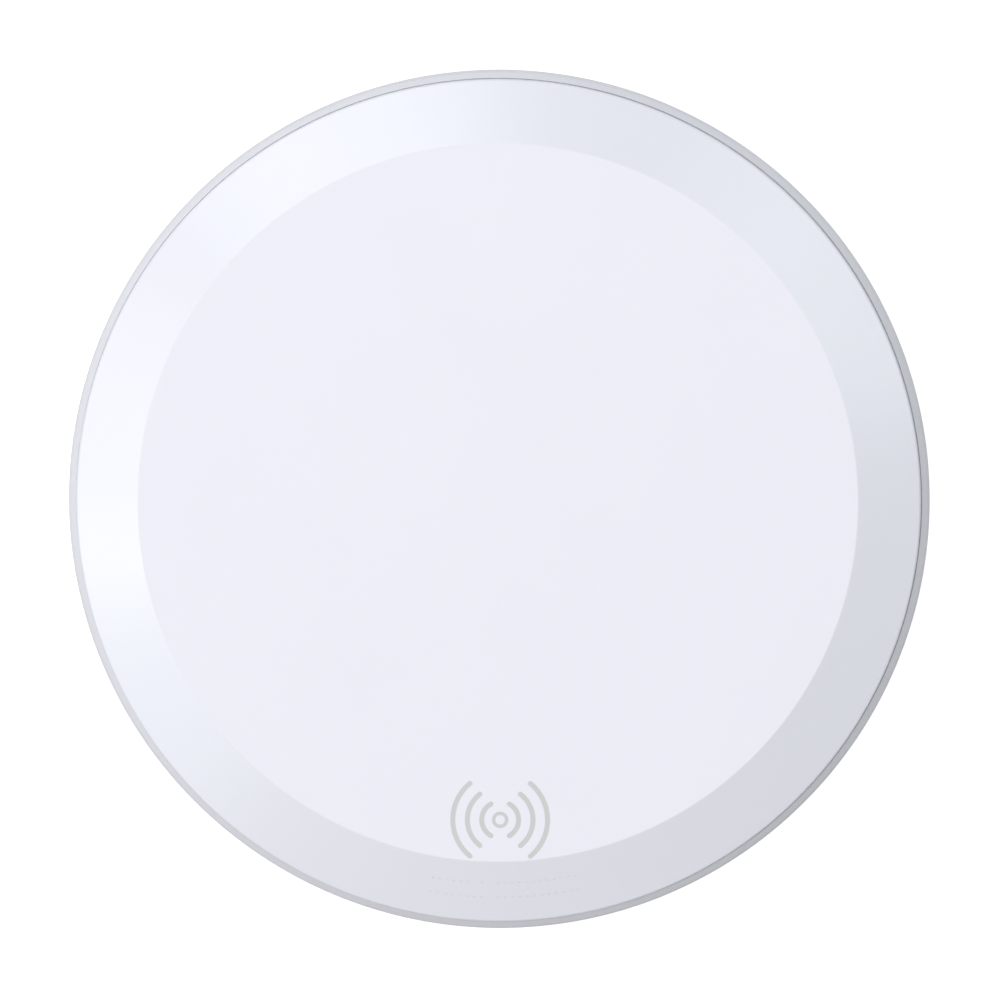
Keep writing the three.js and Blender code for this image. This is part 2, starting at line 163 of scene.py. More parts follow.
def turned(name, section, material=None, closed=False, facets=192, corner_steps=5):
    """A body turned round Z from (radius, z, rounding) in millimetres, axis to axis or round a section."""
    last = len(section) - 1
    edges = [(i, i + 1) for i in range(last)] + ([(last, 0)] if closed else [])
    mesh = bpy.data.meshes.new(name)
    mesh.from_pydata([(r * MM, 0, z * MM) for r, z, _ in section], edges, [])
    rounding = mesh.attributes.new("round", "FLOAT", "POINT")
    rounding.data.foreach_set("value", [corner * MM for _, _, corner in section])
    sizes = {"Facets": facets, "Corner_steps": corner_steps, "Material": material}
    return grow(name, turning, mesh, **sizes)


def block(name, low, high, material=None):
    """A box from one corner to the other in millimetres: a cutter, or a blank that is bevelled later."""
    shape = bmesh.new()
    size = Vector(high) - Vector(low)
    middle = (Vector(high) + Vector(low)) / 2
    stretched = Matrix.Translation(middle) @ Matrix.Diagonal((*size, 1))
    bmesh.ops.create_cube(shape, size=1, matrix=stretched)
    bmesh.ops.scale(shape, vec=(MM, MM, MM), verts=shape.verts)
    mesh = bpy.data.meshes.new(name)
    shape.to_mesh(mesh)
    shape.free()
    if material:
        mesh.materials.append(material)
    return place(name, mesh)


def moved(piece, x=0.0, y=0.0, z=0.0, turn=0.0, tip=None):
    """Tips a piece's mesh if asked, turns it round Z by degrees, and moves it by millimetres."""
    matrix = Matrix.Translation((x * MM, y * MM, z * MM)) @ Matrix.Rotation(math.radians(turn), 4, "Z")
    if tip:
        angle, axis = tip
        matrix = matrix @ Matrix.Rotation(math.radians(angle), 4, axis)
    piece.data.transform(matrix)
    return piece


def paint_only(piece, material):
    """Gives a piece one material for all its faces."""
    piece.data.materials.clear()
    piece.data.materials.append(material)
    return piece


def carve(piece, others, operation="DIFFERENCE"):
    """Cuts other bodies out of a piece, or joins them on, and throws the others away."""
    for other in others:
        cut = piece.modifiers.new("cut", "BOOLEAN")
        cut.operation, cut.solver, cut.object = operation, "EXACT", other
        evaluated = piece.evaluated_get(bpy.context.evaluated_depsgraph_get())
        mesh = bpy.data.meshes.new_from_object(evaluated)
        piece.modifiers.remove(cut)
        piece.data = mesh
        bpy.data.objects.remove(other)
    return piece


def merge(name, pieces):
    """Several bodies kept as one mesh."""
    shape = bmesh.new()
    materials = []
    for piece in pieces:
        before = len(shape.faces)
        shape.from_mesh(piece.data)
        shape.faces.ensure_lookup_table()
        for face in shape.faces[before:]:
            slots = piece.data.materials
            material = slots[face.material_index] if slots else None
            if material not in materials:
                materials.append(material)
            face.material_index = materials.index(material)
        bpy.data.objects.remove(piece)
    mesh = bpy.data.meshes.new(name)
    shape.to_mesh(mesh)
    shape.free()
    for material in materials:
        mesh.materials.append(material)
    return place(name, mesh)


def finish_edges(piece, width=0.0, steps=2):
    """Breaks the sharp edges by a width in millimetres and lets the big faces keep their flat shading."""
    level, sharp = 0.99999, math.radians(30)
    for polygon in piece.data.polygons:
        polygon.use_smooth = abs(polygon.normal.z) < level
    if width:
        bevel = piece.modifiers.new("edges", "BEVEL")
        bevel.width, bevel.segments, bevel.limit_method = width * MM, steps, "ANGLE"
        bevel.angle_limit, bevel.harden_normals = sharp, False
    weighted = piece.modifiers.new("shading", "WEIGHTED_NORMAL")
    weighted.keep_sharp = True
    return piece


def fit_piece(piece, slot, *nodes):
    """A piece rides on the pad's one body and stands for its CAD nodes. Its slot is not used."""
    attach(piece, "root")
    if nodes:
        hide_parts(*nodes)


# What moulded, pressed and plated surfaces share: a fine grain, cloudy handling marks and a few dust specks.
surface, given, result = new_group(
    "ShaderNodeTree",
    "surface_marks",
    {"Grain size": ("Float", 0.1), "Cloud size": ("Float", 12.0), "Speck share": ("Float", 0.02)},
    {"Grain": "Float", "Cloud": "Float", "Specks": "Float"},
)
where = add_node(surface, "ShaderNodeTexCoord").outputs["Object"]
SPECK_SPACING = 2.2 * MM
SPECK_SIZE = 0.035


def noise(size_in_mm, detail):
    """Noise of a grain size on the piece's own place."""
    scale = reckon(surface, "DIVIDE", 1 / MM, size_in_mm)
    settings = {"Vector": where, "Scale": scale, "Detail": detail}
    return add_node(surface, "ShaderNodeTexNoise", settings)


grain = noise(given["Grain size"], 3.0)
cloud = noise(given["Cloud size"], 4.0)
cells = add_node(surface, "ShaderNodeTexVoronoi", {"Vector": where, "Scale": 1 / SPECK_SPACING})
chance = add_node(surface, "ShaderNodeSeparateColor", {"Color": cells.outputs["Color"]})
small = reckon(surface, "LESS_THAN", cells.outputs["Distance"], SPECK_SIZE)
rare = reckon(surface, "LESS_THAN", chance.outputs[0], given["Speck share"])
speck = reckon(surface, "MULTIPLY", small, rare)
surface.links.new(grain.outputs["Fac"], result["Grain"])
surface.links.new(cloud.outputs["Fac"], result["Cloud"])
surface.links.new(speck, result["Specks"])
DUST = (0.32, 0.3, 0.3, 1)


def finish(
    name, color, roughness, grain=0.1, depth=0.002, cloud=12.0, shade=0.96, sheen=0.05, specks=0.0, **sockets
):
    """A material with surface marks. Grain, its depth and cloud are in millimetres, shade is the darkest
    cloud's share of the colour, sheen is how far the roughness wanders, and further sockets go by name."""
    material = bpy.data.materials.new(name)
    material.use_nodes = True
    tree = material.node_tree
    shader = tree.nodes["Principled BSDF"]
    marks = tree.nodes.new("ShaderNodeGroup")
    marks.node_tree = surface
    marks.inputs["Grain size"].default_value = grain
    marks.inputs["Cloud size"].default_value = cloud
    marks.inputs["Speck share"].default_value = specks
    clean, cloudy = (*color, 1), (*[c * shade for c in color], 1)
    toning = {0: marks.outputs["Cloud"], 6: clean, 7: cloudy}
    tone = add_node(tree, "ShaderNodeMix", toning, data_type="RGBA", label="tone")
    dusting = {0: marks.outputs["Specks"], 6: tone.outputs[2], 7: DUST}
    dusty = add_node(tree, "ShaderNodeMix", dusting, data_type="RGBA", label="dust")
    spread = {"From Min": 0.25, "From Max": 0.75, "To Min": roughness - sheen, "To Max": roughness + sheen}
    rough = add_node(tree, "ShaderNodeMapRange", {"Value": marks.outputs["Cloud"], **spread})
    relief = {"Height": marks.outputs["Grain"], "Distance": depth * MM, "Strength": 1.0}
    bump = add_node(tree, "ShaderNodeBump", relief)
    tree.links.new(dusty.outputs[2], shader.inputs["Base Color"])
    tree.links.new(rough.outputs[0], shader.inputs["Roughness"])
    tree.links.new(bump.outputs[0], shader.inputs["Normal"])
    for socket, value in sockets.items():
        shader.inputs[socket.replace("_", " ")].default_value = value
    return material


def box_of(node):
    """A CAD node's lowest and highest corners, in millimetres."""
    return [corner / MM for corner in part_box(node)]


base_low, base_high = box_of("base_shell")
foot_low, foot_high = box_of("foot_1")
board_screw_low, board_screw_high = box_of("board_screw_1")
socket_low, socket_high = box_of("socket_shell")
WALL_TOP = 5.55
FLOOR = 2.0
WELL_TOP = 5.0
WELL_INNER, WELL_OUTER = 26, 27.2
WALL_INNER = 47.3
TONGUE_INNER, TONGUE_OUTER = 48.3, 48.9
foot_radius = (foot_high.x - foot_low.x) / 2
SCREW_SPOTS = [45, 135, 225, 315]
screw_circle = math.hypot(foot_low.x + foot_high.x, foot_low.y + foot_high.y) / 2
BOARD_SCREW_SPOTS = [0, 180, 252, 288]
board_screw_circle = (board_screw_low.x + board_screw_high.x) / 2


def on_circle(radius, degrees):
    """Where a point on a circle round the pad lies."""
    return radius * math.cos(math.radians(degrees)), radius * math.sin(math.radians(degrees))


def pillar(radius, low, high, spot, facets=40, edge=0.0):
    """An upright round body at (circle radius, angle), for posts and for the holes in them."""
    section = [(0, high, 0), (radius, high, edge), (radius, low, 0), (0, low, 0)]
    return moved(turned("pillar", section, facets=facets), *on_circle(*spot))


def slot_bar(name, width, height, back, front, middle):
    """A bar along Y whose section is a slot with round ends, in millimetres."""
    steps, corner = 12, height / 2
    end = width / 2 - corner
    ring = []
    for side, first in ((1, -90), (-1, 90)):
        for step in range(steps + 1):
            angle = math.radians(first + 180 * step / steps)
            ring.append((side * end + corner * math.cos(angle), middle + corner * math.sin(angle)))
    mesh = bpy.data.meshes.new(name)
    points = [(x * MM, y * MM, z * MM) for y in (back, front) for x, z in ring]
    count = len(ring)
    sides = [(i, (i + 1) % count, count + (i + 1) % count, count + i) for i in range(count)]
    mesh.from_pydata(points, [], [*sides, tuple(range(count)), tuple(range(count, 2 * count))])
    return face_outwards(place(name, mesh))


CASING_WHITE = (0.80, 0.80, 0.865)
white_casing = finish(
    "white_casing", CASING_WHITE, 0.34, grain=0.16, depth=0.004, shade=0.985, specks=0.01, IOR=1.5
)
# Rings of points on either side of the screw circle keep each cut in the level faces to its own place.
LEVEL_RINGS = (33, 44)
base_section = [
    (0, base_low.z, 0),
    *[(ring, base_low.z, 0) for ring in LEVEL_RINGS],
    (48.42, base_low.z, 3.2),
    (base_high.x, WALL_TOP, 0.12),
    (TONGUE_OUTER, WALL_TOP, 0.05),
    (TONGUE_OUTER, base_high.z, 0.1),
    (TONGUE_INNER, base_high.z, 0.1),
    (TONGUE_INNER, WALL_TOP, 0.05),
    (WALL_INNER, WALL_TOP, 0.15),
    (47, 2.6, 0),
    (46.2, FLOOR, 0.3),
    *[(ring, FLOOR, 0) for ring in reversed(LEVEL_RINGS)],
    (WELL_OUTER, FLOOR, 0.2),
    (WELL_OUTER, WELL_TOP, 0.25),
    (WELL_INNER, WELL_TOP, 0.25),
    (WELL_INNER, FLOOR, 0.2),
    (0, FLOOR, 0),
]
base = turned("base_casing", base_section, white_casing)
ROOT = FLOOR - 0.4
POST_RADIUS, POST_TOP = 3.2, 4.6
SUPPORT_RADIUS, BOARD_SEAT = 2.5, 2.55
posts = [pillar(POST_RADIUS, ROOT, POST_TOP, (screw_circle, spot), edge=0.2) for spot in SCREW_SPOTS]
supports = [
    pillar(SUPPORT_RADIUS, ROOT, BOARD_SEAT, (board_screw_circle, spot)) for spot in BOARD_SCREW_SPOTS
]
carve(base, [merge("posts", posts + supports)], "UNION")
# name, radius, lowest point, highest point, radius and angles of the circle that they lie on
BORES = [
    ("foot_seats", foot_radius + 0.2, 0, 1.2, screw_circle, SCREW_SPOTS),
    ("head_seats", 2.2, 1, 2.6, screw_circle, SCREW_SPOTS),
    ("screw_ways", 1.15, 2, 5, screw_circle, SCREW_SPOTS),
    ("board_screw_ways", 0.85, 1.2, 3, board_screw_circle, BOARD_SCREW_SPOTS),
]
for name, radius, low, high, circle_radius, spots in BORES:
    cutters = [pillar(radius, low, high, (circle_radius, spot)) for spot in spots]
    carve(base, [merge(name, cutters)])
SOCKET_WIDTH = 8.94
SOCKET_GAP = 0.25
socket_middle = (socket_low.z + socket_high.z) / 2
opening_width = SOCKET_WIDTH + 2 * SOCKET_GAP
OPENING_HEIGHT, OPENING_BACK, OPENING_FRONT = 3.7, 46, 52
carve(base, [slot_bar("opening", opening_width, OPENING_HEIGHT, OPENING_BACK, OPENING_FRONT, socket_middle)])
POCKET_LOW, POCKET_HIGH = (-5.2, 40.8, 1.4), (5.2, 47.2, 3)
carve(base, [block("pocket", POCKET_LOW, POCKET_HIGH)])
finish_edges(base, 0.09)
fit_piece(base, "casing_white", "base_shell")

# ---- Feet ----
# Four pale silicone discs that keep the pad from sliding. Each is pressed with two shallow grip rings
# underneath, and is glued into a recess of the base, where it also hides the head of a casing screw.
copying, given, result = shaping_tree("copies_on_points", {"Part": ("Object", None)})
turn = add_node(copying, "GeometryNodeInputNamedAttribute", {"Name": "turn"}, data_type="FLOAT")
about_z = {"Axis": (0, 0, 1), "Angle": turn.outputs["Attribute"]}
facing = add_node(copying, "FunctionNodeAxisAngleToRotation", about_z)
part = add_node(copying, "GeometryNodeObjectInfo", {"Object": given["Part"]})
spread_parts = {
    "Points": given["Geometry"],
    "Instance": part.outputs["Geometry"],
    "Rotation": facing.outputs[0],
}
spread = add_node(copying, "GeometryNodeInstanceOnPoints", spread_parts)
end_tree(copying, given, result, spread.outputs[0])


def copies(name, part, spots, material):
    """One mesh of a part repeated at (x, y, z, turn), in millimetres and degrees. The part is used up."""
    mesh = bpy.data.meshes.new(name)
    mesh.from_pydata([(x * MM, y * MM, z * MM) for x, y, z, _ in spots], [], [])
    turns = mesh.attributes.new("turn", "FLOAT", "POINT")
    turns.data.foreach_set("value", [math.radians(turn) for *_, turn in spots])
    piece = grow(name, copying, mesh, Part=part, Material=material)
    bpy.data.objects.remove(part)
    return piece


PALE_RUBBER = (0.62, 0.62, 0.64)
silicone = finish(
    "pale_silicone", PALE_RUBBER, 0.62, grain=0.06, depth=0.006, cloud=3.0, shade=0.93, specks=0.05, IOR=1.41
)
GRIP_RINGS = (3.1, 1.9)
GRIP_WIDTH, GRIP_LEAN, GRIP_DEPTH = 0.5, 0.12, 0.1
foot_section = [(0, foot_high.z, 0), (foot_radius, foot_high.z, 0.08), (foot_radius, 0, 0.35)]
for ring in GRIP_RINGS:
    foot_section += [
        (ring, 0, 0.05),
        (ring - GRIP_LEAN, GRIP_DEPTH, 0.03),
        (ring - GRIP_WIDTH + GRIP_LEAN, GRIP_DEPTH, 0.03),
        (ring - GRIP_WIDTH, 0, 0.05),
    ]
foot_section.append((0, 0, 0))
foot = turned("foot", foot_section, facets=72)
foot_spots = [(*on_circle(screw_circle, spot), 0, spot) for spot in SCREW_SPOTS]
feet = finish_edges(copies("silicone_feet", foot, foot_spots, silicone))
fit_piece(feet, "foot_silicone", *[f"foot_{i + 1}" for i in range(4)])

# ---- Casing screws ----
# Four zinc plated self-tapping screws that go up through the base's posts into the cover's bosses. Their pan
# heads are cold forged with a cross recess, and their threads are rolled.
threading, given, result = shaping_tree(
    "rolled_thread",
    {
        "Crest radius": ("Float", 1.0 * MM),
        "Depth": ("Float", 0.15 * MM),
        "Pitch": ("Float", 0.6 * MM),
        "Start": ("Float", 0.5 * MM),
        "Length": ("Float", 4.0 * MM),
        "Recess width": ("Float", 1.8 * MM),
        "Recess depth": ("Float", 0.6 * MM),
        "Head height": ("Float", 1.1 * MM),
    },
)
turns = reckon(threading, "DIVIDE", given["Length"], given["Pitch"])
core = reckon(threading, "SUBTRACT", given["Crest radius"], given["Depth"])
helix_sizes = {
    "Resolution": 24,
    "Rotations": turns,
    "Start Radius": core,
    "End Radius": core,
    "Height": given["Length"],
}
helix = add_node(threading, "GeometryNodeCurveSpiral", helix_sizes)
ridge = add_node(threading, "GeometryNodeCurvePrimitiveCircle", {"Resolution": 4, "Radius": given["Depth"]})
ridge_parts = {"Curve": helix.outputs[0], "Profile Curve": ridge.outputs[0], "Fill Caps": True}
thread = add_node(threading, "GeometryNodeCurveToMesh", ridge_parts)
lift = add_node(threading, "ShaderNodeCombineXYZ", {"Z": given["Start"]})
lifted = add_node(
    threading, "GeometryNodeTransform", {"Geometry": thread.outputs[0], "Translation": lift.outputs[0]}
)
RECESS_ARM_SHARE = 0.26
arm = reckon(threading, "MULTIPLY", given["Recess width"], RECESS_ARM_SHARE)
reach = reckon(threading, "MULTIPLY", given["Recess depth"], 2.0)
drop = reckon(threading, "MULTIPLY", given["Head height"], -1.0)
recess_place = add_node(threading, "ShaderNodeCombineXYZ", {"Z": drop})
arms = []
for wide, narrow in (("X", "Y"), ("Y", "X")):
    arm_sizes = {wide: given["Recess width"], narrow: arm, "Z": reach}
    arm_size = add_node(threading, "ShaderNodeCombineXYZ", arm_sizes)
    bar = add_node(threading, "GeometryNodeMeshCube", {"Size": arm_size.outputs[0]})
    placed_bar = {"Geometry": bar.outputs["Mesh"], "Translation": recess_place.outputs[0]}
    arms.append(add_node(threading, "GeometryNodeTransform", placed_bar).outputs[0])
cutting = {"Mesh 1": given["Geometry"], "Mesh 2": arms}
recessed = add_node(threading, "GeometryNodeMeshBoolean", cutting, operation="DIFFERENCE")
whole = add_node(threading, "GeometryNodeJoinGeometry", {0: [recessed.outputs[0], lifted.outputs[0]]})
end_tree(threading, given, result, whole.outputs[0])
THREAD_DEPTH = 0.12


def screw(name, shank, head, head_height, length, thread_start, material):
    """A pan-head screw whose head's seat is at the origin and whose tip is up, in millimetres."""
    tip_length = shank * 0.8
    core_radius = shank - 0.1
    section = [
        (0, length, 0),
        (shank * 0.4, length, 0.05),
        (core_radius, length - tip_length, 0.05),
        (core_radius, 0, 0.05),
        (head, 0, 0.05),
        (head, -head_height * 0.5, 0.4),
        (head * 0.72, -head_height, 0.3),
        (0, -head_height, 0),
    ]
    blank = turned(name + "_blank", section, facets=32)
    sizes = {
        "Crest_radius": shank * MM,
        "Depth": THREAD_DEPTH * MM,
        "Start": thread_start * MM,
        "Length": (length - thread_start - tip_length) * MM,
        "Recess_width": head * MM,
        "Recess_depth": head_height * 0.55 * MM,
        "Head_height": head_height * MM,
    }
    piece = grow(name, threading, blank.data, Material=material, **sizes)
    bpy.data.objects.remove(blank)
    return piece


BRIGHT_STEEL = (0.62, 0.63, 0.65)
zinc = finish(
    "bright_zinc", BRIGHT_STEEL, 0.27, grain=0.05, depth=0.003, cloud=0.9, shade=0.8, sheen=0.08, Metallic=1.0
)
screw_low, screw_high = box_of("casing_screw_1")
HEAD_SEAT = 2.55
CASING_SHANK, CASING_HEAD, CASING_THREAD_START = 1.05, 1.9, 2.3
head_height, screw_length = HEAD_SEAT - screw_low.z, screw_high.z - HEAD_SEAT
casing_screw = screw(
    "casing_screw", CASING_SHANK, CASING_HEAD, head_height, screw_length, CASING_THREAD_START, zinc
)
DRIVEN_TURN = 20
casing_spots = [(*on_circle(screw_circle, spot), HEAD_SEAT, spot + DRIVEN_TURN) for spot in SCREW_SPOTS]
casing_screws = finish_edges(copies("casing_screws", casing_screw, casing_spots, zinc))
fit_piece(casing_screws, "screw_steel", *[f"casing_screw_{i + 1}" for i in range(4)])

# ---- Main board ----
# A C-shaped board of glass laminate 1 mm thick, drilled for the posts and the screws, and notched for the
# socket. It is open at the front so that no copper loop closes round the coil. Its arrises are broken.
board_low, board_high = box_of("main_board")
BOARD_TOP = board_high.z
BOARD_INNER, BOARD_OUTER = 28.0, 46.8
BOARD_GAP = 12
NOTCH_HALF, NOTCH_BACK = 4.72, 40.6


def arc_points(radius, first, last, centre=(0, 0), step=2.0):
    """Points along an arc from one angle to the other, both ends included, in millimetres and degrees."""
    count = max(2, round(abs(last - first) / step))
    turns = [math.radians(first + (last - first) * i / count) for i in range(count + 1)]
    return [(centre[0] + radius * math.cos(a), centre[1] + radius * math.sin(a)) for a in turns]


def curve_mesh(name, curve):
    """A curve made into a mesh."""
    drawn = place(name, curve)
    evaluated = drawn.evaluated_get(bpy.context.evaluated_depsgraph_get())
    mesh = bpy.data.meshes.new_from_object(evaluated)
    mesh.name = name
    bpy.data.objects.remove(drawn)
    return mesh


def plate(name, outline, holes, low, high, material, edge=0.05):
    """A flat sheet cut to an outline with holes, in millimetres, its arrises broken."""
    curve = bpy.data.curves.new(name, "CURVE")
    curve.dimensions, curve.fill_mode = "2D", "BOTH"
    curve.extrude = ((high - low) / 2 - edge) * MM
    curve.bevel_depth, curve.bevel_resolution, curve.offset = edge * MM, 1, -edge * MM
    for loop in (outline, *holes):
        spline = curve.splines.new("POLY")
        spline.points.add(len(loop) - 1)
        for point, (x, y) in zip(spline.points, loop):
            point.co = (x * MM, y * MM, 0, 1)
        spline.use_cyclic_u = True
    sheet = paint_only(place(name, curve_mesh(name, curve)), material)
    return face_outwards(moved(sheet, z=(low + high) / 2))


def circle_points(radius, centre, step=12.0):
    """Points all round a hole."""
    return arc_points(radius, 0, 360 - step, centre, step)


MASK_GREEN = (0.015, 0.13, 0.05)
solder_mask = finish(
    "green_solder_mask", MASK_GREEN, 0.3, grain=0.5, depth=0.012, shade=0.8, specks=0.02, IOR=1.55
)
notch_turn = math.degrees(math.asin(NOTCH_HALF / BOARD_OUTER))
board_outline = [
    *arc_points(BOARD_OUTER, BOARD_GAP - 90, 90 - notch_turn),
    (NOTCH_HALF, NOTCH_BACK),
    (-NOTCH_HALF, NOTCH_BACK),
    *arc_points(BOARD_OUTER, 90 + notch_turn, 270 - BOARD_GAP),
    *arc_points(BOARD_INNER, 270 - BOARD_GAP, BOARD_GAP - 90),
]
POST_HOLE, SCREW_HOLE = 3.6, 0.95
holes = [circle_points(POST_HOLE, on_circle(screw_circle, spot)) for spot in SCREW_SPOTS]
holes += [circle_points(SCREW_HOLE, on_circle(board_screw_circle, spot)) for spot in BOARD_SCREW_SPOTS]
board = plate("circuit_board", board_outline, holes, board_low.z, BOARD_TOP, solder_mask)
fit_piece(finish_edges(board), "board_laminate", "main_board")

# ---- Board tracks ----
# The copper that shows through the solder mask: etched tracks in runs round the board, each with a jog at its
# ends down to a plated hole, and a bare tinned ring round every board screw.
tracking, given, result = shaping_tree(
    "etched_tracks",
    {"Width": ("Float", 0.3 * MM), "Height": ("Float", 0.03 * MM), "Corner radius": ("Float", 0.5 * MM)},
)
route = add_node(tracking, "GeometryNodeMeshToCurve", {"Mesh": given["Geometry"]})
bends = {"Curve": route.outputs[0], "Count": 4, "Radius": given["Corner radius"], "Limit Radius": True}
bent = add_node(tracking, "GeometryNodeFilletCurve", bends, mode="POLY")
strip = add_node(
    tracking, "GeometryNodeCurvePrimitiveQuadrilateral", {"Width": given["Height"], "Height": given["Width"]}
)
strip_parts = {"Curve": bent.outputs[0], "Profile Curve": strip.outputs[0], "Fill Caps": True}
laid = add_node(tracking, "GeometryNodeCurveToMesh", strip_parts)
end_tree(tracking, given, result, laid.outputs[0])

MASKED_GREEN, TIN_WHITE = (0.05, 0.24, 0.08), (0.74, 0.75, 0.76)
masked_copper = finish("masked_copper", MASKED_GREEN, 0.26, grain=0.4, depth=0.006, shade=0.85, IOR=1.55)
tin = finish(
    "bright_tin", TIN_WHITE, 0.24, grain=0.15, depth=0.008, cloud=0.8, shade=0.85, sheen=0.06, Metallic=1.0
)
TRACK_PITCH = 0.62
TRACK_Z = BOARD_TOP + 0.01
OUTER_TRACK, INNER_TRACK = 42.9, 29.2
JOG, LANE_INSET = 1.6, 1.4
# first angle, last angle, smallest radius, tracks side by side
TRACK_RUNS = [
    (97, 131, OUTER_TRACK, 4),
    (139, 176, OUTER_TRACK, 3),
    (184, 221, OUTER_TRACK, 3),
    (229, 256, OUTER_TRACK, 3),
    (284, 311, OUTER_TRACK, 3),
    (319, 350, OUTER_TRACK, 3),
    (128, 172, INNER_TRACK, 4),
    (186, 246, INNER_TRACK, 3),
    (296, 352, INNER_TRACK, 4),
]
points, edges, via_spots = [], [], []
for first, last, smallest, lanes in TRACK_RUNS:
    for lane in range(lanes):
        radius = smallest + TRACK_PITCH * lane
        inset = LANE_INSET * lane
        jog = JOG if smallest == INNER_TRACK else -JOG
        run = arc_points(radius, first + inset, last - inset)
        run = [on_circle(radius + jog, first + inset - 1), *run, on_circle(radius + jog, last - inset + 1)]
        edges += [(len(points) + i, len(points) + i + 1) for i in range(len(run) - 1)]
        points += [(x * MM, y * MM, TRACK_Z * MM) for x, y in run]
        via_spots += [(*run[0], TRACK_Z, 0), (*run[-1], TRACK_Z, 0)]
track_lines = bpy.data.meshes.new("track_lines")
track_lines.from_pydata(points, edges, [])
tracks = grow("board_tracks", tracking, track_lines, Material=masked_copper)


def bare_ring(name, inner, outer, top, facets):
    """A tinned ring round a hole, its foot sunk a hair into the board."""
    section = [(inner, -0.01, 0), (outer, -0.01, 0), (outer, top, 0), (inner, top, 0)]
    return turned(name, section, closed=True, facets=facets)


ring_spots = [(*on_circle(board_screw_circle, spot), BOARD_TOP, 0) for spot in BOARD_SCREW_SPOTS]
vias = copies("vias", bare_ring("via", 0.16, 0.34, 0.03, 16), via_spots, tin)
screw_rings = copies("screw_rings", bare_ring("screw_ring", 1.0, 1.9, 0.02, 32), ring_spots, tin)
copper = merge("board_copper", [tracks, vias, screw_rings])
fit_piece(copper, "board_laminate")

# ---- Board screws ----
# Four small pan-head screws that hold the board down on its supports. They are of the same make as the casing
# screws, and are driven in from above.
PART_SEAT = BOARD_TOP + 0.05
BOARD_SHANK, BOARD_HEAD, BOARD_THREAD_START = 0.8, 1.7, 0.9
head_height, screw_length = board_screw_high.z - PART_SEAT, PART_SEAT - board_screw_low.z
board_screw = screw(
    "board_screw", BOARD_SHANK, BOARD_HEAD, head_height, screw_length, BOARD_THREAD_START, zinc
)
moved(board_screw, tip=(180, "X"))
DRIVEN_TURN = 35
driven_spots = [
    (*on_circle(board_screw_circle, spot), PART_SEAT, spot + DRIVEN_TURN) for spot in BOARD_SCREW_SPOTS
]
board_screws = finish_edges(copies("board_screws", board_screw, driven_spots, zinc))
fit_piece(board_screws, "screw_steel", *[f"board_screw_{i + 1}" for i in range(4)])

# ---- Power socket ----
# A deep-drawn steel shell sunk into the board's notch, with four tabs soldered to the board and latch springs
# cut in its top and bottom. The black moulding inside carries a tongue with gold contacts on both faces.
socket_height = socket_high.z - socket_low.z
SOCKET_WALL = 0.3
MOUTH, SOCKET_BACK = 48.3, 41.0
SHELL_STEEL = (0.58, 0.58, 0.59)
drawn_steel = finish(
    "drawn_steel", SHELL_STEEL, 0.3, grain=0.09, depth=0.003, cloud=1.6, shade=0.82, sheen=0.08, Metallic=1.0
)
shell = slot_bar("socket_steel", SOCKET_WIDTH, socket_height, SOCKET_BACK, MOUTH, socket_middle)
inside_width, inside_height = SOCKET_WIDTH - 2 * SOCKET_WALL, socket_height - 2 * SOCKET_WALL
hollow = slot_bar("hollow", inside_width, inside_height, SOCKET_BACK - 1, MOUTH + 1, socket_middle)
SPRING_HALF, SPRING_START, SPRING_END = 0.65, 43.6, 45.9
CROSS_CUT, SIDE_CUT, THROUGH = 0.25, 0.24, 7
windows = []
for middle in (-2.1, 2.1):
    left, right = middle - SPRING_HALF, middle + SPRING_HALF
    for low_x, high_x, end in (
        (left, right, SPRING_START + CROSS_CUT),
        (left, left + SIDE_CUT, SPRING_END),
        (right - SIDE_CUT, right, SPRING_END),
    ):
        windows.append(block("window", (low_x, SPRING_START, 0), (high_x, end, THROUGH)))
carve(shell, [hollow, *windows])
TAB_LENGTH, TAB_HALF_WIDTH, TAB_LOW, TAB_HIGH = 1.35, 0.55, 3.65, 3.95
TAB_ROOT = SOCKET_WIDTH / 2 - SOCKET_WALL / 2
tabs = []
for side in (-1, 1):
    left, right = sorted((side * TAB_ROOT, side * (TAB_ROOT + TAB_LENGTH)))
    for y in (42.2, 45.2):
        tabs.append(block("tab", (left, y - TAB_HALF_WIDTH, TAB_LOW), (right, y + TAB_HALF_WIDTH, TAB_HIGH)))
carve(shell, [merge("tabs", tabs)], "UNION")
shell.data.materials.append(drawn_steel)
finish_edges(shell, 0.06)
fit_piece(shell, "socket_steel", "socket_shell")

RESIN_BLACK, GOLD_YELLOW = (0.018, 0.018, 0.02), (0.95, 0.62, 0.24)
black_resin = finish(
    "black_resin", RESIN_BLACK, 0.5, grain=0.07, depth=0.006, cloud=1.4, shade=0.7, specks=0.03, IOR=1.52
)
gold = finish(
    "gold_plate", GOLD_YELLOW, 0.25, grain=0.06, depth=0.002, cloud=0.5, shade=0.88, Metallic=1.0
)
CLEARANCE = 0.16
plug_width, plug_height = inside_width - CLEARANCE, inside_height - CLEARANCE
MOULDING_FRONT = 42.9
moulding = slot_bar("socket_moulding", plug_width, plug_height, SOCKET_BACK, MOULDING_FRONT, socket_middle)
BLADE_HALF_WIDTH, BLADE_ROOT = 3.32, 42.7
BLADE_END, BLADE_HALF_HEIGHT = 47.6, 0.35
STEP_END, STEP_HALF_HEIGHT = 43.7, 0.55
tongue_parts = []
for part_end, half_height in ((BLADE_END, BLADE_HALF_HEIGHT), (STEP_END, STEP_HALF_HEIGHT)):
    low = (-BLADE_HALF_WIDTH, BLADE_ROOT, socket_middle - half_height)
    high = (BLADE_HALF_WIDTH, part_end, socket_middle + half_height)
    tongue_parts.append(block("blade", low, high))
carve(moulding, tongue_parts, "UNION")
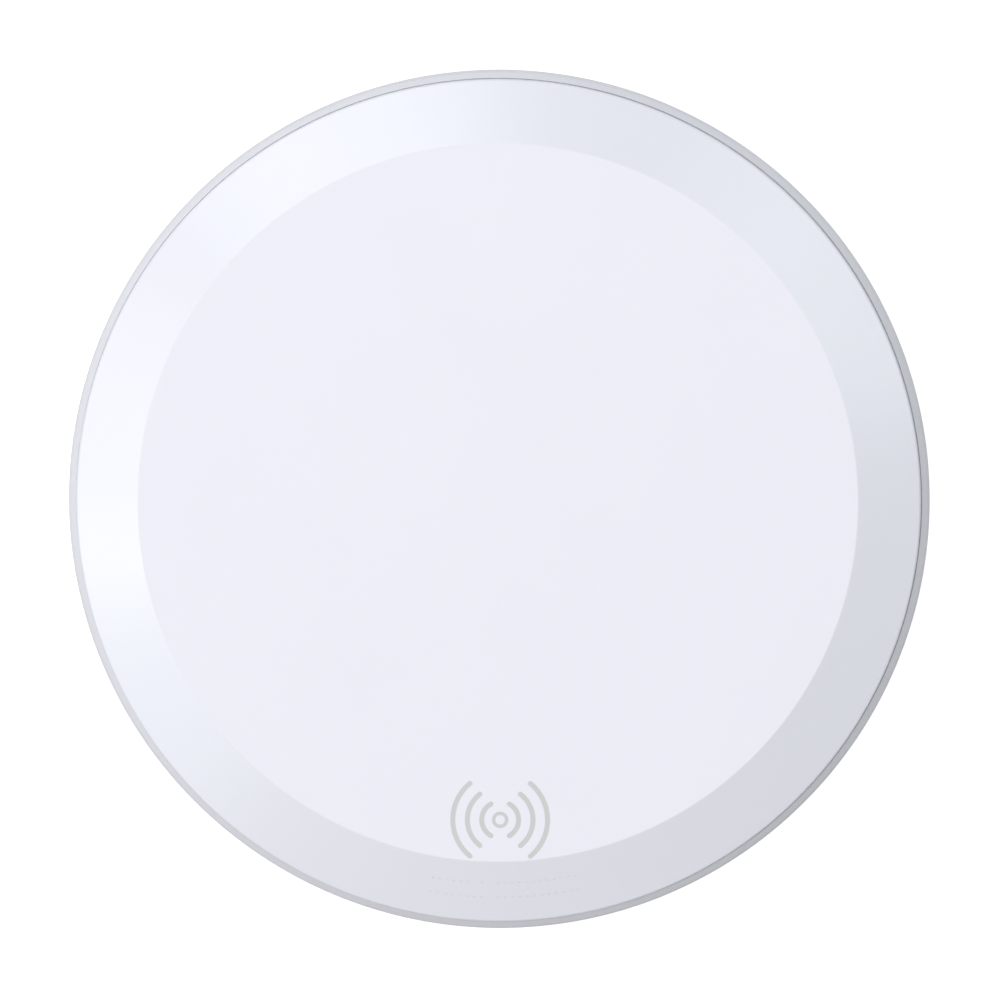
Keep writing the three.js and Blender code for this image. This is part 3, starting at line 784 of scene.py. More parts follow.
NOTCH_LOW, NOTCH_HIGH = (-0.3, 45.1, socket_middle - 1), (0.3, 46.1, socket_middle + 1)
notches = [moved(block("notch", NOTCH_LOW, NOTCH_HIGH), x=x) for x in (-BLADE_HALF_WIDTH, BLADE_HALF_WIDTH)]
carve(moulding, notches)
paint_only(moulding, black_resin)
finish_edges(moulding, 0.08)
fit_piece(moulding, "black_resin", "socket_tongue")

CONTACTS, CONTACT_PITCH, CONTACT_BACK = 12, 0.5, 43.9
contact_spots = [
    (CONTACT_PITCH * (i - (CONTACTS - 1) / 2), CONTACT_BACK, socket_middle + side * BLADE_HALF_HEIGHT, 0)
    for side in (-1, 1)
    for i in range(CONTACTS)
]
CONTACT_LOW, CONTACT_HIGH = (-0.13, 0, -0.02), (0.13, 3.2, 0.02)
contact = block("contact", CONTACT_LOW, CONTACT_HIGH)
contacts = finish_edges(copies("socket_contacts", contact, contact_spots, gold), 0.012, steps=1)
fit_piece(contacts, "socket_steel")

# ---- Coil cushion ----
# A die-cut ring of dark open-cell foam, glued to the floor inside the well, that presses the ferrite and the
# coil up against the cover. Its cut walls bow out a little under the load.
cushion_low, cushion_high = box_of("coil_cushion")
CUSHION_HOLE = 3.0
FOAM_GREY = (0.075, 0.08, 0.088)
foam_marks = {"grain": 0.45, "depth": 0.16, "cloud": 5.0, "shade": 0.55, "sheen": 0.04, "specks": 0.2}
foam = finish("grey_foam", FOAM_GREY, 0.95, **foam_marks, Specular_IOR_Level=0.2)
cushion_middle = (cushion_low.z + cushion_high.z) / 2
cushion_section = [
    (CUSHION_HOLE + 0.15, cushion_high.z, 0.2),
    (cushion_high.x - 0.3, cushion_high.z, 0.35),
    (cushion_high.x, cushion_middle, 1.0),
    (cushion_high.x - 0.3, cushion_low.z, 0.35),
    (CUSHION_HOLE + 0.15, cushion_low.z, 0.2),
    (CUSHION_HOLE, cushion_middle, 0.8),
]
cushion = finish_edges(turned("foam_cushion", cushion_section, foam, closed=True, facets=120))
fit_piece(cushion, "cushion_foam", "coil_cushion")

# ---- Ferrite shield ----
# A sintered ferrite disc that keeps the coil's field off the board, slotted from the edge so that the coil's
# inner lead can pass under the winding. Its arrises are ground.
ferrite_low, ferrite_high = box_of("ferrite_shield")
FERRITE_RADIUS = 25.0
LEAD_ANGLE = 70
SLOT_HALF, SLOT_END = 1.5, 6.0
FERRITE_BLACK = (0.045, 0.043, 0.046)
ferrite_marks = {"grain": 0.12, "depth": 0.012, "cloud": 6.0, "shade": 0.75, "sheen": 0.1, "specks": 0.05}
ferrite = finish("sintered_ferrite", FERRITE_BLACK, 0.55, **ferrite_marks)
slot_turn = math.degrees(math.asin(SLOT_HALF / FERRITE_RADIUS))
slot_round = arc_points(SLOT_HALF, 270, 90, (SLOT_END + SLOT_HALF, 0), step=15)
disc_outline = [*arc_points(FERRITE_RADIUS, slot_turn, 360 - slot_turn), *slot_round]
disc = plate("ferrite_disc", disc_outline, [], ferrite_low.z, ferrite_high.z, ferrite, edge=0.18)
fit_piece(finish_edges(moved(disc, turn=LEAD_ANGLE)), "ferrite", "ferrite_shield")

# ---- Adhesive rings ----
# Two rings of double-sided paper tape: one between ferrite and winding, one between winding and cover. Both
# are die-cut from a roll and pressed on by hand.
PAPER = (0.72, 0.67, 0.53)
tape = finish("paper_tape", PAPER, 0.72, grain=0.35, depth=0.02, shade=0.86, specks=0.04)
CUT_EDGE = 0.03
for name, inner, node in (("winding_tape", 11.2, "coil_adhesive"), ("cover_tape", 10.0, "cover_adhesive")):
    low, high = box_of(node)
    corners = [(inner, high.z), (high.x, high.z), (high.x, low.z), (inner, low.z)]
    section = [(*corner, CUT_EDGE) for corner in corners]
    ring = turned(name, section, tape, closed=True, facets=120, corner_steps=2)
    fit_piece(finish_edges(ring), "adhesive_tape", node)

# ---- Coil ----
# Nine enamelled copper strands twisted into one round wire and wound flat into a spiral. The inner lead comes
# out through the ferrite's slot, the outer lead drops from the edge, and both are soldered to the board.
winding, given, result = shaping_tree(
    "twisted_wire",
    {
        "Radius": ("Float", 0.55 * MM),
        "Strands": ("Int", 9),
        "Groove": ("Float", 0.22),
        "Lay": ("Float", 14 * MM),
        "Step": ("Float", 1.2 * MM),
    },
)
path = add_node(winding, "GeometryNodeMeshToCurve", {"Mesh": given["Geometry"]})
resampling = {"Curve": path.outputs[0], "Length": given["Step"]}
even = add_node(winding, "GeometryNodeResampleCurve", resampling, mode="LENGTH")
upright = add_node(winding, "GeometryNodeSetCurveNormal", {"Curve": even.outputs[0]}, mode="Z_UP")
travelled = add_node(winding, "GeometryNodeSplineParameter")
lays = reckon(winding, "DIVIDE", travelled.outputs["Length"], given["Lay"])
twist = reckon(winding, "MULTIPLY", lays, math.tau)
twisted = add_node(winding, "GeometryNodeSetCurveTilt", {"Curve": upright.outputs[0], "Tilt": twist})
POINTS_PER_STRAND = 5.0
points_round = reckon(winding, "MULTIPLY", given["Strands"], POINTS_PER_STRAND)
round_wire = add_node(
    winding, "GeometryNodeCurvePrimitiveCircle", {"Resolution": points_round, "Radius": given["Radius"]}
)
share = add_node(winding, "GeometryNodeSplineParameter")
half_waves = reckon(winding, "MULTIPLY", given["Strands"], math.pi)
phase = reckon(winding, "MULTIPLY", share.outputs["Factor"], half_waves)
wave = reckon(winding, "COSINE", phase)
crest = reckon(winding, "ABSOLUTE", wave)
dip = reckon(winding, "SUBTRACT", 1.0, given["Groove"])
swell = add_node(winding, "ShaderNodeMapRange", {"Value": crest, "To Min": dip, "To Max": 1.0})
wire_point = add_node(winding, "GeometryNodeInputPosition")
lobing = {0: wire_point.outputs[0], "Scale": swell.outputs[0]}
lobed = add_node(winding, "ShaderNodeVectorMath", lobing, operation="SCALE")
lobes = {"Geometry": round_wire.outputs[0], "Position": lobed.outputs[0]}
bundle = add_node(winding, "GeometryNodeSetPosition", lobes)
wire_parts = {"Curve": twisted.outputs[0], "Profile Curve": bundle.outputs[0], "Fill Caps": True}
wire = add_node(winding, "GeometryNodeCurveToMesh", wire_parts)
soft = add_node(winding, "GeometryNodeSetShadeSmooth", {"Geometry": wire.outputs[0]})
end_tree(winding, given, result, soft.outputs[0])

WIRE_RADIUS = 0.55
COIL_INNER, COIL_PITCH, COIL_TURNS, COIL_Z = 10.9, 1.2, 9.6, 7.575
STEPS_PER_TURN = 20
wire_on_board = PART_SEAT + WIRE_RADIUS


def wire_points(course, radius=0.0, degrees=0.0):
    """Points of a wire from (radius, angle, z) steps that start from a radius and an angle."""
    return [(*on_circle(radius + out, degrees + turn), z) for out, turn, z in course]


INNER_LEAD = [
    (33, 0, wire_on_board),
    (31, 0, wire_on_board + 0.1),
    (29.3, 0, 4.95),
    (27.4, 0, 5.7),
    (24, 0, 5.78),
    (16, 0, 5.78),
    (11.8, 0, 5.8),
    (9.4, 0, 6.2),
    (8.2, 3, 6.95),
    (7.9, 13, 7.5),
    (8.7, 34, COIL_Z),
    (9.7, 54, COIL_Z),
    (10.5, 72, COIL_Z),
]
inner_lead = wire_points(INNER_LEAD, degrees=LEAD_ANGLE)
first_angle = LEAD_ANGLE + 90
coil_turns = [i / STEPS_PER_TURN for i in range(round(COIL_TURNS * STEPS_PER_TURN) + 1)]
spiral = [(COIL_PITCH * turn, 360 * turn, COIL_Z) for turn in coil_turns]
turns_of_wire = wire_points(spiral, COIL_INNER, first_angle)
OUTER_LEAD = [
    (1.1, 12, COIL_Z),
    (2.6, 20, COIL_Z - 0.02),
    (4.1, 26, COIL_Z - 0.75),
    (5.6, 30, 5.6),
    (7.1, 33, 4.4),
    (9.6, 36, wire_on_board),
]
last_radius = COIL_INNER + COIL_PITCH * coil_turns[-1]
last_angle = first_angle + 360 * coil_turns[-1]
outer_lead = wire_points(OUTER_LEAD, last_radius, last_angle)
COPPER = (0.72, 0.3, 0.13)
litz = finish(
    "litz_copper", COPPER, 0.3, grain=0.5, depth=0.01, cloud=4.0, shade=0.72, sheen=0.08, Metallic=0.92
)


def smooth_line(name, controls, steps=5):
    """A mesh line that passes smoothly through points in millimetres."""
    curve = bpy.data.curves.new(name, "CURVE")
    curve.dimensions = "3D"
    curve.resolution_u = steps
    spline = curve.splines.new("BEZIER")
    spline.bezier_points.add(len(controls) - 1)
    for point, control in zip(spline.bezier_points, controls):
        point.co = Vector(control) * MM
        point.handle_left_type = point.handle_right_type = "AUTO"
    return curve_mesh(name, curve)


wire_line = smooth_line("wire_line", inner_lead + turns_of_wire + outer_lead)
coil = grow("litz_coil", winding, wire_line, Radius=WIRE_RADIUS * MM, Material=litz)
fit_piece(coil, "litz_copper", "coil_winding")
solder_section = [(0, 0.95, 0), (0.6, 0.85, 0.3), (1.05, 0.3, 0.3), (1.35, -0.01, 0), (0, -0.01, 0)]
solder_dome = turned("solder_dome", solder_section, facets=24)
lead_ends = [(*inner_lead[0][:2], PART_SEAT, 0), (*outer_lead[-1][:2], PART_SEAT, 0)]
joints = finish_edges(copies("lead_solder", solder_dome, lead_ends, tin))
fit_piece(joints, "board_laminate")

# ---- Board parts ----
# Surface-mounted parts, reflow soldered: moulded chips on tinned leads or flush pads, ceramic capacitors and
# resistors between plated ends, a moulded inductor, a crystal in a steel can, and four status lamps.
def on_board(angle, radius, turn, own):
    """Where a point of a part lies, for a part at an angle and radius that is turned about itself."""
    about_itself = Matrix.Rotation(math.radians(turn), 2) @ own
    return tuple(Matrix.Rotation(math.radians(angle), 2) @ (about_itself + Vector((radius, 0))))


def settle(piece, angle, radius, turn=0):
    """Puts a part made round the origin on the board."""
    moved(piece, turn=turn)
    moved(piece, x=radius, z=PART_SEAT)
    return moved(piece, turn=angle)


def moulded(name, length, width, height, lift=0.0, draft=0.08, dimple=True):
    """A moulded chip: its walls lean in from the parting line, and a dimple marks its first lead."""
    shape = bmesh.new()
    middle = lift + (height - lift) * 0.45
    rows = []
    for z, inset in ((lift, draft), (middle, 0), (height, draft)):
        half_length, half_width = (length / 2 - inset) * MM, (width / 2 - inset) * MM
        corners = ((-1, -1), (1, -1), (1, 1), (-1, 1))
        rows.append([shape.verts.new((x * half_length, y * half_width, z * MM)) for x, y in corners])
    shape.faces.new(rows[0])
    shape.faces.new(rows[-1])
    for below, above in zip(rows, rows[1:]):
        for i in range(4):
            shape.faces.new((below[i], below[(i + 1) % 4], above[(i + 1) % 4], above[i]))
    bmesh.ops.recalc_face_normals(shape, faces=shape.faces)
    mesh = bpy.data.meshes.new(name)
    shape.to_mesh(mesh)
    shape.free()
    mesh.materials.append(black_resin)
    piece = place(name, mesh)
    if dimple:
        size = min(length, width) * 0.09
        mark_section = [(0, 0.4, 0), (size, 0.4, 0), (size, -0.05, 0.03), (0, -0.05, 0)]
        mark = turned("mark", mark_section, facets=20)
        moved(mark, x=-length / 2 + 3 * size, y=width / 2 - 3 * size, z=height)
        carve(piece, [mark])
        paint_only(piece, black_resin)
    return piece


def gull_lead(reach, drop, width, thick=0.16):
    """A lead that comes out of a chip's side at the origin, bends down and ends in a foot, along +Y."""
    sole = -drop + thick / 2
    middle_line = [(-0.1, 0), (reach * 0.3, 0), (reach * 0.55, sole), (reach, sole)]
    mesh = bpy.data.meshes.new("lead_line")
    mesh.from_pydata([(0, y * MM, z * MM) for y, z in middle_line], [(0, 1), (1, 2), (2, 3)], [])
    sizes = {"Width": width * MM, "Height": thick * MM, "Corner_radius": 0.14 * MM}
    return grow("gull_lead", tracking, mesh, Material=tin, **sizes)


def side_rows(angle, radius, turn, count, pitch, half_width, z, sides=(0, 180)):
    """Where the leads of a chip leave its sides. Sides are in degrees from the chip's +Y side."""
    spots = []
    for side in sides:
        for i in range(count):
            along = pitch * (i - (count - 1) / 2)
            own = Matrix.Rotation(math.radians(side), 2) @ Vector((along, half_width))
            spots.append((*on_board(angle, radius, turn, own), z, angle + turn + side))
    return spots


# name, length, width, height, angle, radius, turn, leads on each long side, pitch, how far the leads reach
LEADED_CHIPS = [
    ("regulator_chip", 4.9, 3.9, 1.5, 166, 36.4, 0, 4, 1.27, 1.05),
    ("handshake_chip", 2.9, 1.6, 1.1, 88, 33.2, 90, 3, 0.95, 0.6),
]
leads = []
for name, length, width, height, angle, radius, turn, count, pitch, reach in LEADED_CHIPS:
    body = settle(moulded(name + "_body", length, width, height, lift=0.12), angle, radius, turn)
    fit_piece(finish_edges(body, 0.04), "black_resin", name)
    exit_z = height * 0.5
    spots = side_rows(angle, radius, turn, count, pitch, width / 2, PART_SEAT + exit_z)
    leads.append(copies("leads", gull_lead(reach, exit_z, 0.38), spots, tin))

# name, length, width, height, angle, radius, turn, pads on each short side, pads on each long side
PAD_CHIPS = [
    ("controller_chip", 5, 5, 0.85, 16, 36.4, 0, 8, 8),
    ("bridge_driver_1", 6, 5, 1, 30, 37.4, 0, 7, 9),
    ("bridge_driver_2", 6, 5, 1, 62, 43.2, 90, 7, 9),
]
PAD_PITCH = 0.5
PAD_LOW, PAD_HIGH = (-0.12, -0.2, -0.03), (0.12, 0.28, 0.09)
for name, length, width, height, angle, radius, turn, short, long in PAD_CHIPS:
    body = settle(moulded(name + "_body", length, width, height, lift=0.02, draft=0.02), angle, radius, turn)
    fit_piece(finish_edges(body, 0.03), "black_resin", name)
    for count, half, sides in ((long, width / 2, (0, 180)), (short, length / 2, (90, 270))):
        pad = block("pad", PAD_LOW, PAD_HIGH)
        spots = side_rows(angle, radius, turn, count, PAD_PITCH, half, PART_SEAT, sides)
        leads.append(copies("leads", pad, spots, tin))


WEDGE_FACES = [(0, 1, 2), (5, 4, 3), (0, 3, 4, 1), (1, 4, 5, 2), (2, 5, 3, 0)]


def capped(name, length, width, height, cap, core):
    """A block between two plated ends, each with a small fillet of solder at its foot."""
    inset, end_inset, fillet = 0.05, 0.1, 0.4
    half_length, half_width = length / 2, width / 2
    core_half_length, core_half_width = half_length - end_inset, half_width - inset
    core_low = (-core_half_length, -core_half_width, inset)
    core_high = (core_half_length, core_half_width, height - inset)
    parts = [block("core", core_low, core_high, core)]
    solder_half = half_width - 0.08
    for side in (-1, 1):
        near, far = sorted((side * half_length, side * (half_length - cap)))
        parts.append(block("end", (near, -half_width, 0), (far, half_width, height), tin))
        buried = side * (half_length - inset)
        foot = [(buried, 0), (side * (half_length + fillet), 0), (buried, height * 0.5)]
        mesh = bpy.data.meshes.new("solder")
        corners = [(x * MM, y * MM, z * MM) for y in (-solder_half, solder_half) for x, z in foot]
        mesh.from_pydata(corners, [], WEDGE_FACES)
        mesh.materials.append(tin)
        parts.append(face_outwards(place("solder", mesh)))
    return merge(name, parts)


TAN, CHALK = (0.4, 0.27, 0.15), (0.66, 0.65, 0.6)
tan_ceramic = finish(
    "tan_ceramic", TAN, 0.42, grain=0.2, depth=0.01, cloud=1.2, shade=0.8, specks=0.06
)
white_ceramic = finish(
    "white_ceramic", CHALK, 0.4, grain=0.2, depth=0.01, cloud=1.0, shade=0.88, specks=0.05
)
TUNING_ANGLES = (56.5, 62.3, 68.1, 73.9)
# node, length, width, height, cap, angle, radius, turn, material, slot
CAPPED_PARTS = [
    ("input_fuse", 3.2, 1.6, 0.6, 0.5, 81, 38.2, 0, white_ceramic, "fuse_ceramic"),
    ("input_capacitor_1", 7.3, 4.3, 1.9, 0.8, 111, 35.4, 0, tan_ceramic, "capacitor_ceramic"),
    ("input_capacitor_2", 7.3, 4.3, 1.9, 0.8, 120, 35.4, 0, tan_ceramic, "capacitor_ceramic"),
    ("sense_resistor", 6.3, 3.2, 0.6, 0.8, 341, 36.4, 0, black_resin, "black_resin"),
    ("thermistor_chip", 2, 1.25, 0.8, 0.4, 195, 30, 90, tan_ceramic, "capacitor_ceramic"),
]
CAPPED_PARTS += [
    (f"tuning_capacitor_{i + 1}", 4.5, 3.2, 2, 0.7, angle, 37.6, 0, tan_ceramic, "capacitor_ceramic")
    for i, angle in enumerate(TUNING_ANGLES)
]
for node, length, width, height, cap, angle, radius, turn, core, slot in CAPPED_PARTS:
    part = settle(capped(node + "_body", length, width, height, cap, core), angle, radius, turn)
    fit_piece(finish_edges(part, 0.07), slot, node)

DIODE_LENGTH, DIODE_WIDTH, DIODE_HEIGHT, DIODE_EXIT = 4.3, 2.6, 2.1, 1.05
diode_body = moulded(
    "diode_body", DIODE_LENGTH, DIODE_WIDTH, DIODE_HEIGHT, lift=0.1, draft=0.16, dimple=False
)
band = block("band", (-1.55, -1.16, DIODE_HEIGHT - 0.01), (-1.15, 1.16, DIODE_HEIGHT + 0.015), white_ceramic)
diode_parts = [diode_body, band]
for side in (-1, 1):
    lead = gull_lead(0.62, DIODE_EXIT, 1.5, thick=0.2)
    moved(lead, y=DIODE_LENGTH / 2, z=DIODE_EXIT)
    diode_parts.append(moved(lead, turn=90 * side))
diode = merge("surge_diode_body", diode_parts)
fit_piece(finish_edges(settle(diode, 100, 37.6), 0.03), "black_resin", "surge_diode")

INDUCTOR_GREY = (0.06, 0.06, 0.065)
inductor_marks = {"grain": 0.18, "depth": 0.02, "cloud": 1.5, "shade": 0.7, "sheen": 0.08, "specks": 0.08}
inductor_resin = finish("inductor_ferrite", INDUCTOR_GREY, 0.6, **inductor_marks)
core_section = [
    (0, 2.96, 0),
    (1.9, 2.96, 0.1),
    (1.98, 3.0, 0.05),
    (2.78, 3.0, 0.25),
    (2.78, 0.55, 0.1),
    (0, 0.55, 0),
]
core = turned("inductor_core", core_section, inductor_resin, facets=64)
skirt = block("skirt", (-2.98, -2.98, 0.06), (2.98, 2.98, 0.6), inductor_resin)
ends = [block("end", (x - 0.35, -1.1, 0), (x + 0.35, 1.1, 0.75), tin) for x in (-2.75, 2.75)]
inductor = merge("power_inductor_body", [core, skirt, *ends])
fit_piece(finish_edges(settle(inductor, 153, 36.6), 0.08), "inductor_ferrite", "power_inductor")


def rounded_outline(length, width, corner):
    """A rectangle with round corners."""
    outline = []
    for x, y, first in ((1, 1, 0), (-1, 1, 90), (-1, -1, 180), (1, -1, 270)):
        centre = (x * (length / 2 - corner), y * (width / 2 - corner))
        outline += arc_points(corner, first, first + 90, centre, step=18)
    return outline


FLANGE, LID = (3.2, 2.5, 0.35), (2.85, 2.15, 0.3)
flange = plate("flange", rounded_outline(*FLANGE), [], 0, 0.4, zinc)
lid = plate("lid", rounded_outline(*LID), [], 0.3, 0.75, zinc, edge=0.1)
crystal = merge("crystal_can", [flange, lid])
fit_piece(finish_edges(settle(crystal, 9, 42.6, 90)), "screw_steel", "clock_crystal")

LAMP_YELLOW = (0.85, 0.83, 0.62)
lamp_resin = finish(
    "lamp_resin", LAMP_YELLOW, 0.22, grain=0.2, depth=0.004, cloud=0.6, shade=0.95, IOR=1.53
)
LAMP_ANGLES = (30, 150, 210, 330)
LAMP_RADIUS = 45.6
LAMP_HOUSING = (1.5, 1.2, 0.15)
lens_section = [(0, 0.8, 0), (0.28, 0.77, 0.1), (0.52, 0.6, 0.15), (0.58, 0.45, 0), (0, 0.45, 0)]
for i, angle in enumerate(LAMP_ANGLES):
    lens = turned("lens", lens_section, lamp_resin, facets=32)
    housing = plate("housing", rounded_outline(*LAMP_HOUSING), [], 0.08, 0.55, white_ceramic)
    pads = [block("pad", (x - 0.22, -0.58, 0), (x + 0.22, 0.58, 0.3), tin) for x in (-0.78, 0.78)]
    lamp = merge(f"status_lamp_{i + 1}_body", [lens, housing, *pads])
    part = settle(lamp, angle, LAMP_RADIUS, 90)
    fit_piece(finish_edges(part, 0.04), "lamp_resin", f"status_lamp_{i + 1}")

all_leads = finish_edges(merge("chip_leads", leads))
fit_piece(all_leads, "board_laminate")

# ---- Light ring ----
# A frosted band moulded in one with four light guides that reach in over the lamps. Its skirt sits on the
# base's tongue, its face slopes steeply down, and a fine groove of shadow parts it from the cover.
RING_TOP = 7.05
RING_FOOT = 5.6
RING_INNER, RING_OUTER = 47.45, 50
KEYWAY_INNER, KEYWAY_OUTER = 48.2, 49
GROOVE_FLOOR = RING_TOP - 0.35
KEYWAY_TOP = RING_FOOT + 0.55
FROSTED_WHITE = (0.77, 0.77, 0.82)
frosted = finish(
    "frosted_ring", FROSTED_WHITE, 0.34, grain=0.12, depth=0.003, shade=0.985, specks=0.015, IOR=1.49
)
band_section = [
    (RING_INNER, RING_TOP, 0.1),
    (48.88, RING_TOP, 0.03),
    (48.92, GROOVE_FLOOR, 0.03),
    (49.02, GROOVE_FLOOR, 0.03),
    (49.06, RING_TOP, 0.02),
    (49.7, RING_TOP - 0.75, 0.6),
    (RING_OUTER, RING_TOP - 1.4, 0.1),
    (RING_OUTER, RING_FOOT, 0.1),
    (KEYWAY_OUTER, RING_FOOT, 0.05),
    (KEYWAY_OUTER, KEYWAY_TOP, 0.05),
    (KEYWAY_INNER, KEYWAY_TOP, 0.05),
    (KEYWAY_INNER, RING_FOOT, 0.05),
    (RING_INNER, RING_FOOT, 0.05),
]
light_band = turned("light_band", band_section, frosted, closed=True, facets=256)
GUIDE_HALF = 1.5
guides = []
for angle in LAMP_ANGLES:
    bridge = block("bridge", (44.5, -GUIDE_HALF, 5.9), (47.7, GUIDE_HALF, 6.4))
    leg = block("leg", (44.6, -GUIDE_HALF, BOARD_TOP + 1.15), (46.6, GUIDE_HALF, 6.1))
    carve(bridge, [leg], "UNION")
    guides.append(moved(bridge, turn=angle))
carve(light_band, [merge("guides", guides)], "UNION")
paint_only(light_band, frosted)
fit_piece(finish_edges(light_band), "frosted_ring", "light_ring")

# ---- Top cover ----
# One glossy white moulding: a level charging surface, a wide border that slopes down to a small rounded edge,
# a lip that centres it in the light ring, and four bosses inside for the casing screws.
cover_low, cover_high = box_of("top_cover")
FLAT_RADIUS, COVER_RADIUS = 41.68, 49.0
RIM_Z = 7.54
COVER_EDGE = 7.1
CEILING = 8.5
LIP_OUTER, LIP_INNER, LIP_FOOT = 47.35, 46.65, 6.5
GLOSSY = (0.80, 0.80, 0.86)
glossy_white = finish(
    "glossy_white", GLOSSY, 0.24, grain=0.2, depth=0.0012, shade=0.99, sheen=0.03, IOR=1.5
)
cover_section = [
    (0, cover_high.z, 0),
    (FLAT_RADIUS, cover_high.z, 0.6),
    (COVER_RADIUS, RIM_Z, 0.38),
    (COVER_RADIUS, COVER_EDGE, 0.06),
    (LIP_OUTER, COVER_EDGE, 0.05),
    (LIP_OUTER, LIP_FOOT, 0.1),
    (LIP_INNER, LIP_FOOT, 0.1),
    (LIP_INNER, 6.74, 0.05),
    (41.54, CEILING, 0.3),
    *[(ring, CEILING, 0) for ring in (41.2, 35.8)],
    (0, CEILING, 0),
]
cover = turned("top_casing", cover_section, glossy_white, facets=256)
BOSS_RADIUS, PILOT_RADIUS, PILOT_TOP = 2.4, 1.12, 7.9
boss_top, pilot_foot = CEILING + 0.3, cover_low.z - 1
bosses = [pillar(BOSS_RADIUS, cover_low.z, boss_top, (screw_circle, spot)) for spot in SCREW_SPOTS]
carve(cover, [merge("bosses", bosses)], "UNION")
pilots = [
    pillar(PILOT_RADIUS, pilot_foot, PILOT_TOP, (screw_circle, spot), facets=24) for spot in SCREW_SPOTS
]
carve(cover, [merge("pilots", pilots)])
paint_only(cover, glossy_white)
# The cover is set a hair off the ring's centre, to open the line between them on one side. This is a guess.
PRESSED_X, PRESSED_Y = -0.037, -0.032
moved(cover, x=PRESSED_X, y=PRESSED_Y)
fit_piece(finish_edges(cover), "casing_white", "top_cover")

# ---- Printed marks ----
# Pad-printed in pale warm grey ink on the cover's front: a small ring with three waves on each side, which
# show where to lay the phone, and a row of plain strokes on the border below it.
printing, given, result = shaping_tree(
    "printed_strokes", {"Width": ("Float", 0.5 * MM), "Thickness": ("Float", 0.012 * MM)}
)
stroke_path = add_node(printing, "GeometryNodeMeshToCurve", {"Mesh": given["Geometry"]})
level = add_node(printing, "GeometryNodeSetCurveNormal", {"Curve": stroke_path.outputs[0]}, mode="Z_UP")
stroke_sizes = {"Width": given["Width"], "Height": given["Thickness"]}
flat_stroke = add_node(printing, "GeometryNodeCurvePrimitiveQuadrilateral", stroke_sizes)
stroke_parts = {"Curve": level.outputs[0], "Profile Curve": flat_stroke.outputs[0], "Fill Caps": True}
stroke = add_node(printing, "GeometryNodeCurveToMesh", stroke_parts)
half_width = reckon(printing, "MULTIPLY", given["Width"], 0.5)
# The discs are a little thinner than the strokes, so that no two faces share a plane.
sunk = reckon(printing, "MULTIPLY", given["Thickness"], 0.8)
disc_sizes = {"Vertices": 20, "Radius": half_width, "Depth": sunk}
round_end = add_node(printing, "GeometryNodeMeshCylinder", disc_sizes)
ends_only = add_node(printing, "GeometryNodeInputNamedAttribute", {"Name": "end"}, data_type="BOOLEAN")
tilt = add_node(printing, "GeometryNodeInputNamedAttribute", {"Name": "tilt"}, data_type="FLOAT_VECTOR")
disc_parts = {
    "Points": level.outputs[0],
    "Selection": ends_only.outputs["Attribute"],
    "Instance": round_end.outputs["Mesh"],
    "Rotation": tilt.outputs["Attribute"],
}
end_discs = add_node(printing, "GeometryNodeInstanceOnPoints", disc_parts)
print_parts = add_node(printing, "GeometryNodeJoinGeometry", {0: [stroke.outputs[0], end_discs.outputs[0]]})
shading = {0: print_parts.outputs[0], "Shade Smooth": False}
flat_faced = add_node(printing, "GeometryNodeSetShadeSmooth", shading)
end_tree(printing, given, result, flat_faced.outputs[0])

ink_look = {"roughness": 0.5, "grain": 0.25, "depth": 0.001, "shade": 0.97, "sheen": 0.04, "IOR": 1.45}
ink = finish("grey_ink", (0.615, 0.61, 0.605), **ink_look)
pale_ink = finish("pale_ink", (0.7, 0.68, 0.68), **ink_look)
border_fall = cover_high.z - RIM_Z
border_width = COVER_RADIUS - FLAT_RADIUS
slope = math.atan2(border_fall, border_width)


def on_cover(x, y):
    """A point on the cover's face over (x, y) in millimetres, and how the face is turned there."""
    beyond = math.hypot(x, y) - FLAT_RADIUS
    if beyond <= 0:
        return (x * MM, y * MM, cover_high.z * MM), (0, 0, 0)
    height = cover_high.z - beyond * border_fall / border_width
    return (x * MM, y * MM, height * MM), (0, slope, math.atan2(y, x))


def printed(name, strokes, width, paint=ink, closed=False):
    """Strokes of ink along point lists in millimetres. A closed stroke's last point repeats its first."""
    points, edges, tilts, ends = [], [], [], []
    for line in strokes:
        kept = line[:-1] if closed else line
        first, last = len(points), len(points) + len(kept) - 1
        edges += [(i, i + 1) for i in range(first, last)]
        if closed:
            edges.append((last, first))
        for x, y in kept:
            point, turned_by = on_cover(x, y)
            points.append(point)
            tilts += turned_by
        ends += [not closed and i in (first, last) for i in range(first, last + 1)]
    mesh = bpy.data.meshes.new(name)
    mesh.from_pydata(points, edges, [])
    mesh.attributes.new("end", "BOOLEAN", "POINT").data.foreach_set("value", ends)
    mesh.attributes.new("tilt", "FLOAT_VECTOR", "POINT").data.foreach_set("vector", tilts)
    return grow(name, printing, mesh, Width=width * MM, Material=paint)


MARK = (0.28, -36.8)
MARK_RING_RADIUS, MARK_RING_STROKE, WAVE_STROKE = 0.76, 0.4, 0.58
# radius of a wave, and half the angle that it spans
WAVES = [(2.14, 60), (3.81, 52), (5.5, 50.5)]
mark_ring_line = arc_points(MARK_RING_RADIUS, 0, 360, MARK, step=15)
mark_ring = printed("mark_ring", [mark_ring_line], MARK_RING_STROKE, closed=True)
wave_lines = [
    arc_points(wave_radius, side - span, side + span, MARK, step=6)
    for wave_radius, span in WAVES
    for side in (0, 180)
]
waves = printed("wave_mark", wave_lines, WAVE_STROKE)
STROKE_LOW, STROKE_HIGH, STROKE_WIDTH = 44.15, 45.9, 0.36
PAIR_STEP, PAIR_HALF = 2.12, 0.5
